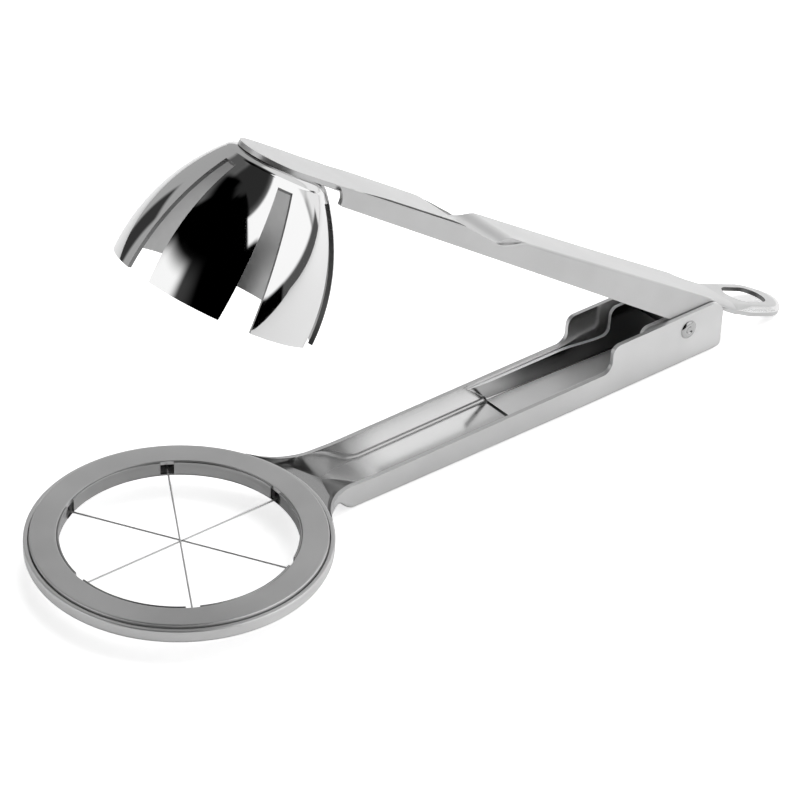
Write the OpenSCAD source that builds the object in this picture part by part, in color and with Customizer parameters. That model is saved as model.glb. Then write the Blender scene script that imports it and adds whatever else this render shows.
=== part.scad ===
// Egg wedger: two pressed steel arms on one rivet. The lower arm ends in a ring strung with three
// cutting wires, and the upper arm carries a six-petal cup that pushes an egg down through them.
// The origin lies on the lower arm's underside, straight below the hinge axis. +X runs away from
// the ring and +Z is up. The upper arm is drawn open, as the tool stands on a table.

/* [Ring] */
// Distance from the hinge axis to the centre of the ring
ring_reach = 139.5; // [130:0.5:150]
// Outer diameter of the ring tray
ring_od = 65.4; // [62:0.2:69]
// Width of the ring from its bore, which the cup passes through, to its outer edge
ring_band = 7.3; // [6.9:0.1:8]
// Height of the ring's top face above the lower arm's underside
ring_top = 8.2; // [7.6:0.1:9]
// Radius of the tray's outer bottom edge
tray_edge_r = 1.2; // [0.6:0.1:1.6]
// Thickness of the cover ring
cover_t = 1; // [0.8:0.1:1.2]
// How far the cover stands above the tray's rim
cover_proud = 0.7; // [0.3:0.1:0.9]
// How far the tray's bore stands inside the cover's bore
cover_lip = 0.3; // [0.1:0.1:0.6]
// Radial clearance between the cover and the tray's rim
cover_gap = 0.1; // [0.05:0.05:0.2]

/* [Wires] */
// Diameter of a cutting wire
wire_d = 0.4; // [0.3:0.05:0.5]
// Clearance between two wires where they cross
wire_gap = 0.05; // [0.03:0.01:0.1]
// Width of the notch that lets a wire through the tray's inner wall
notch_w = 3; // [2:0.2:4]
// Diameter of the ferrule crimped on each wire end
ferrule_d = 0.8; // [0.7:0.05:1]
// Length of a ferrule
ferrule_l = 2; // [1.6:0.1:2.4]
// Wall of the carrier ring that the ferrules pull against
carrier_t = 1; // [0.8:0.1:1.2]
// Clearance of the lowest ferrule over the tray's floor, and of the wires in their guide holes
wire_seat = 0.05; // [0.03:0.01:0.1]
// Radial clearance of a ferrule on its wire
ferrule_fit = 0.02; // [0.01:0.01:0.05]
// Head room above the highest ferrule
head_room = 0.35; // [0.2:0.05:0.5]
// Space between the ferrules' ends and the tray's outer wall
ferrule_space = 0.7; // [0.5:0.1:1]

/* [Lower arm] */
// Sheet thickness of the lower arm and its ring tray
sheet_t = 1; // [0.8:0.1:1.1]
// Width of the lower arm at the hinge
arm_w = 16.4; // [15.6:0.2:18]
// Width of the lower arm at its neck
neck_w = 14.4; // [13:0.2:15.6]
// Radius of the neck's fillets into the ring
neck_r = 11; // [9:0.5:14]
// Length of the level shelf between the ring and the ramp
shelf_l = 3; // [2:0.5:5]
// Length of the ramp from the shelf down to the channel's floor
ramp_l = 13; // [10:0.5:18]
// Distance from the ring back to the heel, where the walls' underside starts to rise
heel_l = 9; // [7.5:0.5:12]
// Length of the heel's rise up to the ring's underside
heel_rise_l = 6; // [4:0.5:7]
// How far the channel's walls stay below the ring's top face
wall_drop = 1.2; // [0.8:0.1:1.6]
// Distance from the hinge axis forward to the front edge of the cheeks
cheek_l = 23.8; // [22:0.1:26]
// Radius at the foot of the cheeks' front edge
cheek_foot_r = 2.6; // [1.5:0.1:3.2]
// Height of the cheeks above the hinge axis
cheek_over = 4.1; // [3.9:0.1:5]
// Distance from the hinge axis back to the rear edge of the cheeks
cheek_back = 11.2; // [10.6:0.1:13]
// Corner radius of the cheeks
cheek_r = 2.2; // [1.5:0.1:2.6]
// Radius of the cheeks' top corner at the rear
cheek_rear_r = 4; // [3:0.1:4.4]

/* [Hinge] */
// Height of the hinge axis above the lower arm's underside
hinge_h = 9.5; // [9:0.1:11]
// Opening angle between the arms as drawn
open_angle = 32.4; // [20:0.1:36]
// Diameter of the rivet's shank
rivet_d = 3; // [2.6:0.1:3.4]
// Diameter of the rivet's head
rivet_head_d = 4.6; // [4:0.1:5.4]
// Height of the rivet's domed head
rivet_head_h = 0.6; // [0.4:0.1:0.8]
// Diameter of the rivet's closed end
rivet_tail_d = 3.8; // [3.6:0.1:4.4]
// Height of the rivet's closed end
rivet_tail_h = 0.3; // [0.2:0.1:0.5]
// Radial clearance of the rivet in the fixed sheets
rivet_fit = 0.02; // [0.01:0.01:0.05]
// Radial running clearance of the upper arm on the rivet
rivet_run = 0.06; // [0.03:0.01:0.1]
// Wall of the spacer sleeve on the rivet
sleeve_t = 0.8; // [0.6:0.1:1]
// End clearance of the spacer sleeve
sleeve_gap = 0.05; // [0.02:0.01:0.1]
// Side clearance of the upper arm's flanges between cheeks and ears
side_gap = 0.25; // [0.2:0.05:0.35]

/* [Hinge bracket] */
// Sheet thickness of the hinge bracket
bracket_t = 0.9; // [0.7:0.1:1.1]
// Distance from the hinge axis forward to the bracket's front edge
bracket_l = 48.7; // [44:0.1:54]
// How far the front edge leans forward at the top of the walls
bracket_lean = 5.5; // [3:0.5:7]
// How far the bracket's walls stay below the lower arm's walls
bracket_drop = 0.4; // [0.2:0.1:0.8]
// Distance from the hinge axis forward to the ears
ear_l = 12.5; // [11:0.5:15]
// Distance from the hinge axis back to the rear edge of the ears
ear_back = 9.8; // [9:0.1:10.4]
// Height of the ears above the hinge axis
ear_over = 3.5; // [3:0.1:3.9]
// Corner radius at the front of the ears
ear_r = 2; // [1:0.1:2.5]
// Gap between the open upper arm and the ears that stop it
stop_gap = 0.1; // [0.05:0.05:0.2]

/* [Upper arm] */
// Sheet thickness of the upper arm
plate_t = 1; // [0.8:0.1:1.1]
// Width of the upper arm over the cup
plate_w = 16.4; // [15:0.2:17.4]
// How far the round tip of the tongue lies forward of the cup's axis
tongue_l = 1.3; // [0:0.1:3]
// Height of the front plate above the hinge axis
plate_over = 6.5; // [6.2:0.1:7.5]
// Distance from the hinge axis forward to the end of the parallel flanges
parallel_l = 31; // [30.5:0.5:36]
// Distance from the hinge axis forward to the front of the flanges
flange_l = 126.4; // [122:0.1:127]
// Radius of the notch between the flanges' front ends and the tongue
notch_r = 2.6; // [1.5:0.1:2.8]
// Depth of the flanges at their front end
flange_front_h = 4; // [3.5:0.1:5]
// Height of the flanges' lower edge above the hinge axis, just before the hinge
flange_rear_over = 0.7; // [0:0.1:1.2]
// Radius of the flange lobes around the rivet
lobe_r = 4.3; // [3.8:0.1:4.8]
// Distance from the hinge axis back to the rear of the flanges
flange_back = 8.5; // [7.5:0.1:9]
// Distance from the hinge axis forward to the top of the riser
riser_l = 68; // [64:0.5:70]
// Length of the riser forward to the bottom of the dip
riser_run = 7; // [6:0.5:9]
// Length of the slope from the bottom of the dip forward to the level plate
dip_run = 15; // [12:1:18]
// Depth of the dip
dip_h = 1.2; // [0.8:0.1:1.6]
// Length of the level bottom of the dip
dip_flat = 0.5; // [0.5:0.1:1]
// Height of the riser
riser_h = 1.8; // [1.4:0.1:2.2]
// Rise of the rear plate from the riser to the bend of the tail
rear_rise = 1.5; // [1:0.1:1.8]
// Width of the slits that part the dipped plate from the flanges
slit_w = 0.4; // [0.3:0.05:0.6]
// Distance from the hinge axis forward to the front of the slits
slit_l = 125; // [116:1:126]
// How far the slits run into the dip
slit_into = 2; // [0:0.5:5]
// Width of the openings beside the riser
window_w = 2.4; // [1.5:0.1:3]
// Length of the openings beside the riser
window_l = 10; // [7:0.5:12]
// Distance from the top of the riser forward to the middle of these openings
window_ahead = 6; // [5:0.5:7]

/* [Hanging loop] */
// Distance from the hinge axis back to the bend of the tail
tail_l = 15.5; // [14.5:0.5:18]
// Angle of the tail above the rear plate
tail_angle = 11; // [10:0.5:16]
// Length of the tail from its bend to its tip
loop_l = 20.5; // [19:0.5:22]
// Width of the loop
loop_w = 14.4; // [13.8:0.2:15]
// Width of the strands around the hole
strand_w = 3.2; // [2.6:0.1:3.6]

/* [Cup] */
// Clearance of the cup's rim all round in the ring's bore
cup_pass = 3.2; // [2.9:0.1:4.4]
// Height of the cup from its rim to its flat top
cup_h = 30; // [28:0.5:31]
// Diameter of the flat top
cup_top_d = 20; // [18.5:0.5:21]
// Sheet thickness of the cup
cup_t = 1; // [0.8:0.1:1.1]
// Width of a slot at the rim
slot_w = 7; // [6:0.2:8]
// Width of a slot at its closed end
slot_end_w = 2.4; // [2:0.1:3]
// Height of solid cup above the slots
slot_land = 2.8; // [2.4:0.1:4]

/* [Hidden] */
$fn = 96;

// One petal for each wedge, and half as many wires as petals
petals = 6;
wires = petals / 2;

// Steps along drawn arcs and rises, facets of the cup's large arcs, and sizes of cutting blanks
arc_steps = 8;
rise_steps = 10;
large_arc_fn = 360;
far = 200;
over = 1;

// Ring heights, from the stack of sheet, wires and cover
wire_step = wire_d + wire_gap;
wire_room = (wires - 1) * wire_step + ferrule_d + wire_seat + head_room;
ring_h = sheet_t + wire_room + cover_t;
ring_r = ring_od / 2;
bore_r = ring_r - ring_band;
ring_bottom = ring_top - ring_h;
tray_floor = ring_bottom + sheet_t;
tray_top = ring_top - cover_t;
rim_top = ring_top - cover_proud;
rim_inner_r = ring_r - sheet_t;
ferrule_out_r = rim_inner_r - ferrule_space;
carrier_r = ferrule_out_r - ferrule_l;
wire_z0 = tray_floor + wire_seat + ferrule_d / 2;

// Lower arm outline: a straight taper from the cheeks to the neck, and fillets into the ring
arm_half = arm_w / 2;
neck_half = neck_w / 2;
ring_back = -ring_reach + ring_r;
neck_x = ring_back + shelf_l + ramp_l;
taper_x = -parallel_l;
taper = (arm_half - neck_half) / (taper_x - neck_x);
taper_angle = atan(taper);
fillet_a = arm_half + taper * (-ring_reach - taper_x) + neck_r / cos(taper_angle);
fillet_d = ring_r + neck_r;
fillet_k = 1 + taper * taper;
fillet_root = sqrt(pow(fillet_a * taper, 2) - fillet_k * (pow(fillet_a, 2) - pow(fillet_d, 2)));
fillet_u = (fillet_root - fillet_a * taper) / fillet_k;
fillet_x = fillet_u - ring_reach;
fillet_y = fillet_a + taper * fillet_u;
wall_top = ring_top - wall_drop;
cheek_top = hinge_h + cheek_over;
heel_x = ring_back + heel_l;
crest_x = ring_back + shelf_l;

// Hinge stack, from the cheeks inwards
cheek_in = arm_half - sheet_t;
flange_half = cheek_in - side_gap;
ear_half = flange_half - plate_t - side_gap;
rivet_r = rivet_d / 2;
bracket_floor = sheet_t;
bracket_top = wall_top - bracket_drop;
ear_top = hinge_h + ear_over;

// Upper arm and cup, in the arm's own frame about the hinge axis
cup_reach = ring_reach;
tongue_x = -cup_reach - tongue_l;
plate_half = plate_w / 2;
flange_low_front = plate_over - flange_front_h;
rear_z = plate_over - dip_h + riser_h;
tail_z = rear_z + rear_rise;
stop_z = rear_z + rear_rise * riser_l / (riser_l + tail_l) - plate_t - stop_gap;
cup_top = plate_over - plate_t;
cup_rim = cup_top - cup_h;
cup_r = bore_r - cup_pass;
cup_top_r = cup_top_d / 2;
cup_arc_r = (pow(cup_r - cup_top_r, 2) + cup_h * cup_h) / (2 * (cup_r - cup_top_r));
slot_top = cup_top - slot_land;
dip_bottom_l = riser_l + riser_run;
dip_l = dip_bottom_l + dip_run;
slit_end_l = dip_l - slit_into;
window_mid_l = riser_l + window_ahead;
window_r = (window_l * window_l / 4 + window_w * window_w) / (2 * window_w);

// Smooth step from 0 to 1
function ease(u) = u * u * (3 - 2 * u);

// Points of a circle's arc
function arc(x, z, r, a0, a1) =
    [for (i = [0:arc_steps]) let (a = a0 + (a1 - a0) * i / arc_steps) [x + r * cos(a), z + r * sin(a)]];

// Points of an S-shaped rise from one point to another
function rise(x0, z0, x1, z1) =
    [for (i = [0:rise_steps]) let (u = i / rise_steps) [x0 + (x1 - x0) * u, z0 + (z1 - z0) * ease(u)]];

// Half width of the tapered channel at x
function arm_half_at(x) = x > taper_x ? arm_half : arm_half + taper * (x - taper_x);

// Top line of the upper arm's plate, from the tongue to the bend of the tail
plate_line = concat(
    [[tongue_x - plate_half - over, plate_over]],
    rise(-dip_l, plate_over, -dip_bottom_l, plate_over - dip_h),
    rise(-dip_bottom_l + dip_flat, plate_over - dip_h, -riser_l, rear_z),
    [[tail_l, tail_z]]);

// The points in reverse order, and the points moved down by a distance
function reversed(points) = [for (i = [len(points) - 1:-1:0]) points[i]];
function lowered(points, d) = [for (p = points) [p[0], p[1] - d]];

// Stands an outline drawn in x and z across the width of the arms
module side_cut(width) {
    translate([0, width / 2, 0]) rotate([90, 0, 0]) linear_extrude(width) children();
}

// One half of the neck between the ring and the channel, drawn in by an inset
module neck_half_plan(inset) {
    edge_r = ring_r - inset;
    reach_r = neck_r + inset;
    on_ring = [-ring_reach + edge_r * fillet_u / fillet_d, edge_r * fillet_y / fillet_d];
    on_arm = [fillet_x + reach_r * sin(taper_angle), fillet_y - reach_r * cos(taper_angle)];
    difference() {
        polygon([[on_ring[0] - sheet_t, 0], [on_ring[0] - sheet_t, on_ring[1]], on_ring,
                 [fillet_x, fillet_y], on_arm, [on_arm[0], 0]]);
        translate([fillet_x, fillet_y]) circle(reach_r);
    }
}

// Plan of the neck and the channel, drawn in by an inset
module arm_plan(inset) {
    neck_half_plan(inset);
    mirror([0, 1]) neck_half_plan(inset);
    front_half = arm_half_at(fillet_x) - inset;
    rear_half = arm_half - inset;
    polygon([[fillet_x, front_half], [taper_x, rear_half], [cheek_back, rear_half],
             [cheek_back, -rear_half], [taper_x, -rear_half], [fillet_x, -front_half]]);
}

// Plan of the channel's walls
module wall_plan() {
    difference() {
        arm_plan(0);
        arm_plan(sheet_t);
        translate([-ring_reach, 0]) circle(rim_inner_r);
    }
}

// Side outline of the channel's walls and cheeks
module wall_side() {
    polygon(concat(
        arc(cheek_back - cheek_r, cheek_r, cheek_r, 0, -90),
        rise(heel_x, 0, heel_x - heel_rise_l, ring_bottom),
        [[-ring_reach, ring_bottom], [-ring_reach, rim_top]],
        rise(crest_x, rim_top, neck_x, wall_top),
        arc(-cheek_l - cheek_foot_r, wall_top + cheek_foot_r, cheek_foot_r, -90, 0),
        arc(-cheek_l + cheek_r, cheek_top - cheek_r, cheek_r, 180, 90),
        arc(cheek_back - cheek_rear_r, cheek_top - cheek_rear_r, cheek_rear_r, 90, 0)));
}

// Side outline of the channel's floor, which ramps up to the ring's rim
module floor_side() {
    under = concat([[cheek_back - cheek_r, 0]], rise(neck_x, 0, crest_x, rim_top - sheet_t),
                   [[-ring_reach, rim_top - sheet_t]]);
    polygon(concat(under, reversed(lowered(under, -sheet_t))));
}

// Half section of the tray, with a rounded bottom edge and a lower inner wall
module tray_section() {
    difference() {
        union() {
            translate([bore_r, ring_bottom]) square([ring_band - tray_edge_r, rim_top - ring_bottom]);
            translate([bore_r, ring_bottom + tray_edge_r])
                square([ring_band, rim_top - ring_bottom - tray_edge_r]);
            translate([ring_r - tray_edge_r, ring_bottom + tray_edge_r]) circle(tray_edge_r);
        }
        translate([bore_r + sheet_t, tray_floor]) square([ring_band - 2 * sheet_t, ring_h]);
        translate([0, tray_top]) square([rim_inner_r, ring_h]);
    }
}

// Round tray that holds the wire ends, open at the top
module ring_tray() {
    translate([-ring_reach, 0, 0]) difference() {
        rotate_extrude() tray_section();
        for (i = [0:petals - 1])
            rotate([0, 0, i * 360 / petals])
                translate([bore_r - over, -notch_w / 2, tray_floor])
                    cube([sheet_t + 2 * over, notch_w, ring_h]);
    }
}

module lower_arm() {
    color("silver") difference() {
        union() {
            ring_tray();
            intersection() {
                linear_extrude(cheek_top + over) wall_plan();
                side_cut(far) wall_side();
            }
            intersection() {
                linear_extrude(cheek_top + over) difference() {
                    arm_plan(0);
                    translate([-ring_reach, 0]) circle(rim_inner_r);
                }
                side_cut(far) floor_side();
            }
        }
        hinge_bore(rivet_r + rivet_fit);
    }
}

// Bore along the hinge axis
module hinge_bore(r) {
    translate([0, far / 2, hinge_h]) rotate([90, 0, 0]) cylinder(h = far, r = r);
}

module ring_cover() {
    color("darkgray") translate([-ring_reach, 0, tray_top]) difference() {
        cylinder(h = cover_t, r = rim_inner_r - cover_gap);
        translate([0, 0, -over]) cylinder(h = cover_t + 2 * over, r = bore_r + cover_lip);
    }
}

// Direction and height of wire i, counted from 0
function wire_angle(i) = -i * 180 / wires;
function wire_z(i) = wire_z0 + i * wire_step;

module wire_carrier() {
    color("gray") difference() {
        translate([-ring_reach, 0, tray_floor]) difference() {
            cylinder(h = wire_room, r = carrier_r);
            translate([0, 0, -over]) cylinder(h = wire_room + 2 * over, r = carrier_r - carrier_t);
        }
        for (i = [0:wires - 1]) wire_rod(i, ring_r, wire_d / 2 + wire_seat);
    }
}

// Round rod along wire i
module wire_rod(i, reach, r) {
    translate([-ring_reach, 0, wire_z(i)]) rotate([0, 0, wire_angle(i)]) rotate([0, 90, 0])
        translate([0, 0, -reach]) cylinder(h = 2 * reach, r = r);
}

module wire(i) {
    color("lightgray") wire_rod(i, ferrule_out_r, wire_d / 2);
}

// Crimped ferrule on one end of wire i, side is 0 or 1
module ferrule(i, side) {
    bore = wire_d / 2 + ferrule_fit;
    color("dimgray") translate([-ring_reach, 0, wire_z(i)]) rotate([0, 0, wire_angle(i) + side * 180])
        rotate([0, 90, 0]) difference() {
            translate([0, 0, carrier_r]) cylinder(h = ferrule_l, r = ferrule_d / 2);
            translate([0, 0, carrier_r - over]) cylinder(h = ferrule_l + 2 * over, r = bore);
        }
}

// Side outline of the bracket's walls and ears
module bracket_side() {
    polygon(concat(
        [[ear_back, bracket_floor], [-bracket_l, bracket_floor],
         [-bracket_l - bracket_lean, bracket_top]],
        rise(-ear_l - ear_r, bracket_top, -ear_l, bracket_top + ear_r),
        arc(-ear_l + ear_r, ear_top - ear_r, ear_r, 180, 90),
        [[ear_back, ear_top]]));
}

module hinge_bracket() {
    color("gainsboro") difference() {
        side_cut(2 * ear_half) bracket_side();
        translate([-far, bracket_t - ear_half, bracket_floor + bracket_t])
            cube([2 * far, 2 * (ear_half - bracket_t), far]);
        at_hinge() translate([-far, -far / 2, stop_z]) cube([2 * far, far, far]);
        hinge_bore(rivet_r + rivet_fit);
    }
}

// Domed head of the given diameter and height
module rivet_dome(d, h) {
    dome_r = (d * d / 4 + h * h) / (2 * h);
    intersection() {
        cylinder(h = h, r = d / 2);
        translate([0, 0, h - dome_r]) sphere(dome_r);
    }
}

// Shank through both cheeks, with the head on the near side and the closed end on the far side
module pivot_rivet() {
    color("darkgray") translate([0, 0, hinge_h]) rotate([90, 0, 0]) {
        cylinder(h = arm_w, r = rivet_r, center = true);
        translate([0, 0, arm_half]) rivet_dome(rivet_head_d, rivet_head_h);
        mirror([0, 0, 1]) translate([0, 0, arm_half]) rivet_dome(rivet_tail_d, rivet_tail_h);
    }
}

module pivot_sleeve() {
    bore = rivet_r + rivet_fit;
    length = 2 * (ear_half - bracket_t - sleeve_gap);
    color("gray") translate([0, 0, hinge_h]) rotate([90, 0, 0]) difference() {
        cylinder(h = length, r = bore + sleeve_t, center = true);
        cylinder(h = arm_w, r = bore, center = true);
    }
}

// Places what is drawn about the hinge axis at the open angle
module at_hinge() {
    translate([0, 0, hinge_h]) rotate([0, open_angle, 0]) children();
}

// Plan of the upper arm from its tongue to its tail, drawn in by an inset
module plate_plan(inset) {
    front_half = plate_half - inset;
    rear_half = flange_half - inset;
    translate([tongue_x, 0]) circle(front_half);
    polygon([[tongue_x, front_half], [-parallel_l, rear_half], [tail_l, rear_half],
             [tail_l, -rear_half], [-parallel_l, -rear_half], [tongue_x, -front_half]]);
}

// Half width between the flanges at x
function inner_half_at(x) =
    flange_half + (plate_half - flange_half) * (-parallel_l - x) / (-parallel_l - tongue_x) - plate_t;

// Slits just inside both flanges
module slit_plan() {
    intersection() {
        difference() {
            plate_plan(plate_t);
            plate_plan(plate_t + slit_w);
        }
        translate([-slit_l, -far / 2]) square([slit_l - slit_end_l, far]);
    }
}

// Lens-shaped openings between the flanges and the riser
module window_plan() {
    intersection() {
        plate_plan(plate_t);
        for (side = [-1, 1])
            translate([-window_mid_l, side * (inner_half_at(-window_mid_l) + window_r - window_w)])
                circle(window_r);
    }
}

// Side outline of the flanges, with a lobe around the rivet
module flange_side() {
    top = [for (p = plate_line) if (p[0] > -flange_l && p[0] < flange_back) p];
    polygon(concat(
        [[-flange_l, flange_low_front]],
        arc(-flange_l - notch_r, cup_top - notch_r, notch_r, 0, 90),
        [[-flange_l - notch_r, plate_over - plate_t / 2]], top,
        [[flange_back, tail_z - plate_t], [lobe_r, 0], [-lobe_r, 0], [-lobe_r, flange_rear_over]]));
    circle(lobe_r);
}

module upper_arm() {
    color("silver") at_hinge() difference() {
        union() {
            intersection() {
                translate([0, 0, -far / 2]) linear_extrude(far) plate_plan(0);
                side_cut(far) polygon(concat(plate_line, reversed(lowered(plate_line, plate_t))));
            }
            intersection() {
                translate([0, 0, -far / 2]) linear_extrude(far) difference() {
                    plate_plan(0);
                    plate_plan(plate_t);
                }
                side_cut(far) flange_side();
            }
            hanging_loop();
        }
        translate([0, 0, -far / 2]) linear_extrude(far) {
            slit_plan();
            window_plan();
        }
        translate([0, far / 2, 0]) rotate([90, 0, 0]) cylinder(h = far, r = rivet_r + rivet_run);
    }
}

// Flat tail with a slotted hole, bent up a little from the rear plate
module hanging_loop() {
    loop_r = loop_w / 2;
    hole_r = loop_r - strand_w;
    hole_x = strand_w + hole_r;
    end_x = loop_l - loop_r;
    root_x = -plate_t / 2;
    translate([tail_l, 0, tail_z - plate_t]) rotate([0, -tail_angle, 0]) linear_extrude(plate_t)
        difference() {
            union() {
                translate([end_x, 0]) circle(loop_r);
                polygon([[root_x, flange_half], [end_x, loop_r], [end_x, -loop_r], [root_x, -flange_half]]);
            }
            translate([hole_x, 0]) circle(hole_r);
            translate([end_x, 0]) circle(hole_r);
            translate([hole_x, -hole_r]) square([end_x - hole_x, 2 * hole_r]);
        }
}

module cup() {
    color("whitesmoke") at_hinge() translate([-cup_reach, 0, 0]) difference() {
        rotate_extrude() {
            intersection() {
                translate([cup_r - cup_arc_r, cup_rim]) difference() {
                    circle(cup_arc_r, $fn = large_arc_fn);
                    circle(cup_arc_r - cup_t, $fn = large_arc_fn);
                }
                translate([0, cup_rim]) square([cup_r + over, cup_h]);
            }
            translate([0, cup_top - cup_t]) square([cup_top_r, cup_t]);
        }
        for (i = [0:petals - 1]) rotate([0, 0, i * 360 / petals]) petal_slot();
    }
}

// Tapered slot between two petals, cut outwards along +X
module petal_slot() {
    translate([cup_top_r / 2, 0, 0]) rotate([90, 0, 90]) linear_extrude(cup_r)
        polygon([[-slot_end_w / 2, slot_top], [slot_end_w / 2, slot_top],
                 [slot_w / 2, cup_rim], [slot_w / 2, cup_rim - over],
                 [-slot_w / 2, cup_rim - over], [-slot_w / 2, cup_rim]]);
}

lower_arm();
ring_cover();
wire_carrier();
wire(0);  // wire_1
wire(1);  // wire_2
wire(2);  // wire_3
ferrule(0, 0);  // ferrule_1
ferrule(0, 1);  // ferrule_2
ferrule(1, 0);  // ferrule_3
ferrule(1, 1);  // ferrule_4
ferrule(2, 0);  // ferrule_5
ferrule(2, 1);  // ferrule_6
hinge_bracket();
pivot_rivet();
pivot_sleeve();
upper_arm();
cup();
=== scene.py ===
"""Looks of the egg wedger: pressed steel, finishes, a studio and the camera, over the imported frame."""
import logging
import math
from dataclasses import dataclass
from enum import Enum

import bmesh
import bpy
import numpy as np
from mathutils import Matrix

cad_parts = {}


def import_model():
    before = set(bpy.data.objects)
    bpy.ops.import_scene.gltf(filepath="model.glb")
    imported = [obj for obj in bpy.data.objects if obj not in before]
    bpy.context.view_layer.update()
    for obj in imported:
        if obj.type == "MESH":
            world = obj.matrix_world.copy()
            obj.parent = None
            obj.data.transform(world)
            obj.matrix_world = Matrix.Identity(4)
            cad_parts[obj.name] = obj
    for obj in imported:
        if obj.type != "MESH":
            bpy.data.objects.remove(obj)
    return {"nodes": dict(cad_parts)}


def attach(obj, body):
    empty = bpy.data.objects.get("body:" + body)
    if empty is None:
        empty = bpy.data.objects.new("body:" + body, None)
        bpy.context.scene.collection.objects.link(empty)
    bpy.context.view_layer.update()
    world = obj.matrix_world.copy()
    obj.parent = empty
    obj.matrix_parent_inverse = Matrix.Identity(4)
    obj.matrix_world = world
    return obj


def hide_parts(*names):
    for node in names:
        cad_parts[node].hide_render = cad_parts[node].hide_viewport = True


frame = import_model()

LOG = logging.getLogger("egg_wedger")
MM = 0.001
Pair = tuple[float, float]


class Body(Enum):
    """The two bodies of the tool."""

    LOWER = "lower"
    UPPER = "upper"


class Slot(Enum):
    """The record's material slots, named for the new pieces."""

    ARM = "arm_steel"
    COVER = "cover_steel"
    BRACKET = "bracket_steel"
    RIVET = "rivet_steel"
    CUP = "cup_steel"


class Side(Enum):
    """Which face of a sheet a skin is."""

    OUTER = 0
    INNER = 1


def ease(t: np.ndarray) -> np.ndarray:
    """Smooth step from 0 to 1, flat at both ends."""
    t = np.clip(t, 0.0, 1.0)
    return t * t * (3.0 - 2.0 * t)


def run(x: np.ndarray, start: float, end: float) -> np.ndarray:
    """Smooth step along x, 0 at start and 1 at end; end may lie on either side."""
    return ease((np.asarray(x, float) - start) / (end - start))


def arc(cx: float, cz: float, r: float, start: float, end: float, steps: int) -> np.ndarray:
    """Points of a circle's arc.

    Args:
        cx: centre, first coordinate.
        cz: centre, second coordinate.
        r: radius.
        start: first angle in degrees.
        end: last angle in degrees.
        steps: number of points.

    Returns:
        Array of (steps, 2) points.
    """
    a = np.radians(np.linspace(start, end, steps))
    return np.stack([cx + r * np.cos(a), cz + r * np.sin(a)], axis=1)


def level(start: float, end: float, height: float, steps: int) -> np.ndarray:
    """Points of a level line, as (steps, 2)."""
    return np.stack([np.linspace(start, end, steps), np.full(steps, height)], axis=1)


def lines(*stretches: tuple[float, float, int]) -> np.ndarray:
    """Places along an axis, from stretches of (start, end, number of places)."""
    return np.concatenate([np.linspace(*stretch) for stretch in stretches])


def full_turn(steps: int) -> np.ndarray:
    """Angles of a whole turn in radians, as a column."""
    return np.radians(np.linspace(0, 360, steps, endpoint=False))[:, None]


def spread(line: np.ndarray, count: int) -> np.ndarray:
    """Points at even distances along a polyline.

    Args:
        line: (n, 2) points.
        count: number of points wanted.

    Returns:
        Array of (count, 2) points, the ends kept.
    """
    s = np.concatenate([[0.0], np.cumsum(np.linalg.norm(np.diff(line, axis=0), axis=1))])
    want = np.linspace(0.0, s[-1], count)
    return np.stack([np.interp(want, s, line[:, 0]), np.interp(want, s, line[:, 1])], axis=1)


def both_sides(half: np.ndarray) -> np.ndarray:
    """A half section from the +Y edge to the middle, mirrored into a whole one from -Y to +Y.

    Args:
        half: (columns, rows, 3) points, the last row in the middle plane.

    Returns:
        Array of (columns, 2 * rows - 1, 3) points.
    """
    return np.concatenate([half * [1.0, -1.0, 1.0], half[:, -2::-1]], axis=1)


def rows(counts: tuple[int, int, int], finishes: tuple[int, int, int]) -> np.ndarray:
    """Finish numbers for the rows of faces of a whole section.

    Args:
        counts: rows of faces in three stretches of a half section, from the edge to the middle.
        finishes: finish of each stretch.

    Returns:
        Array of finish numbers from edge to edge.
    """
    half = np.repeat(finishes, counts)
    return np.concatenate([half, half[::-1]])


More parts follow.
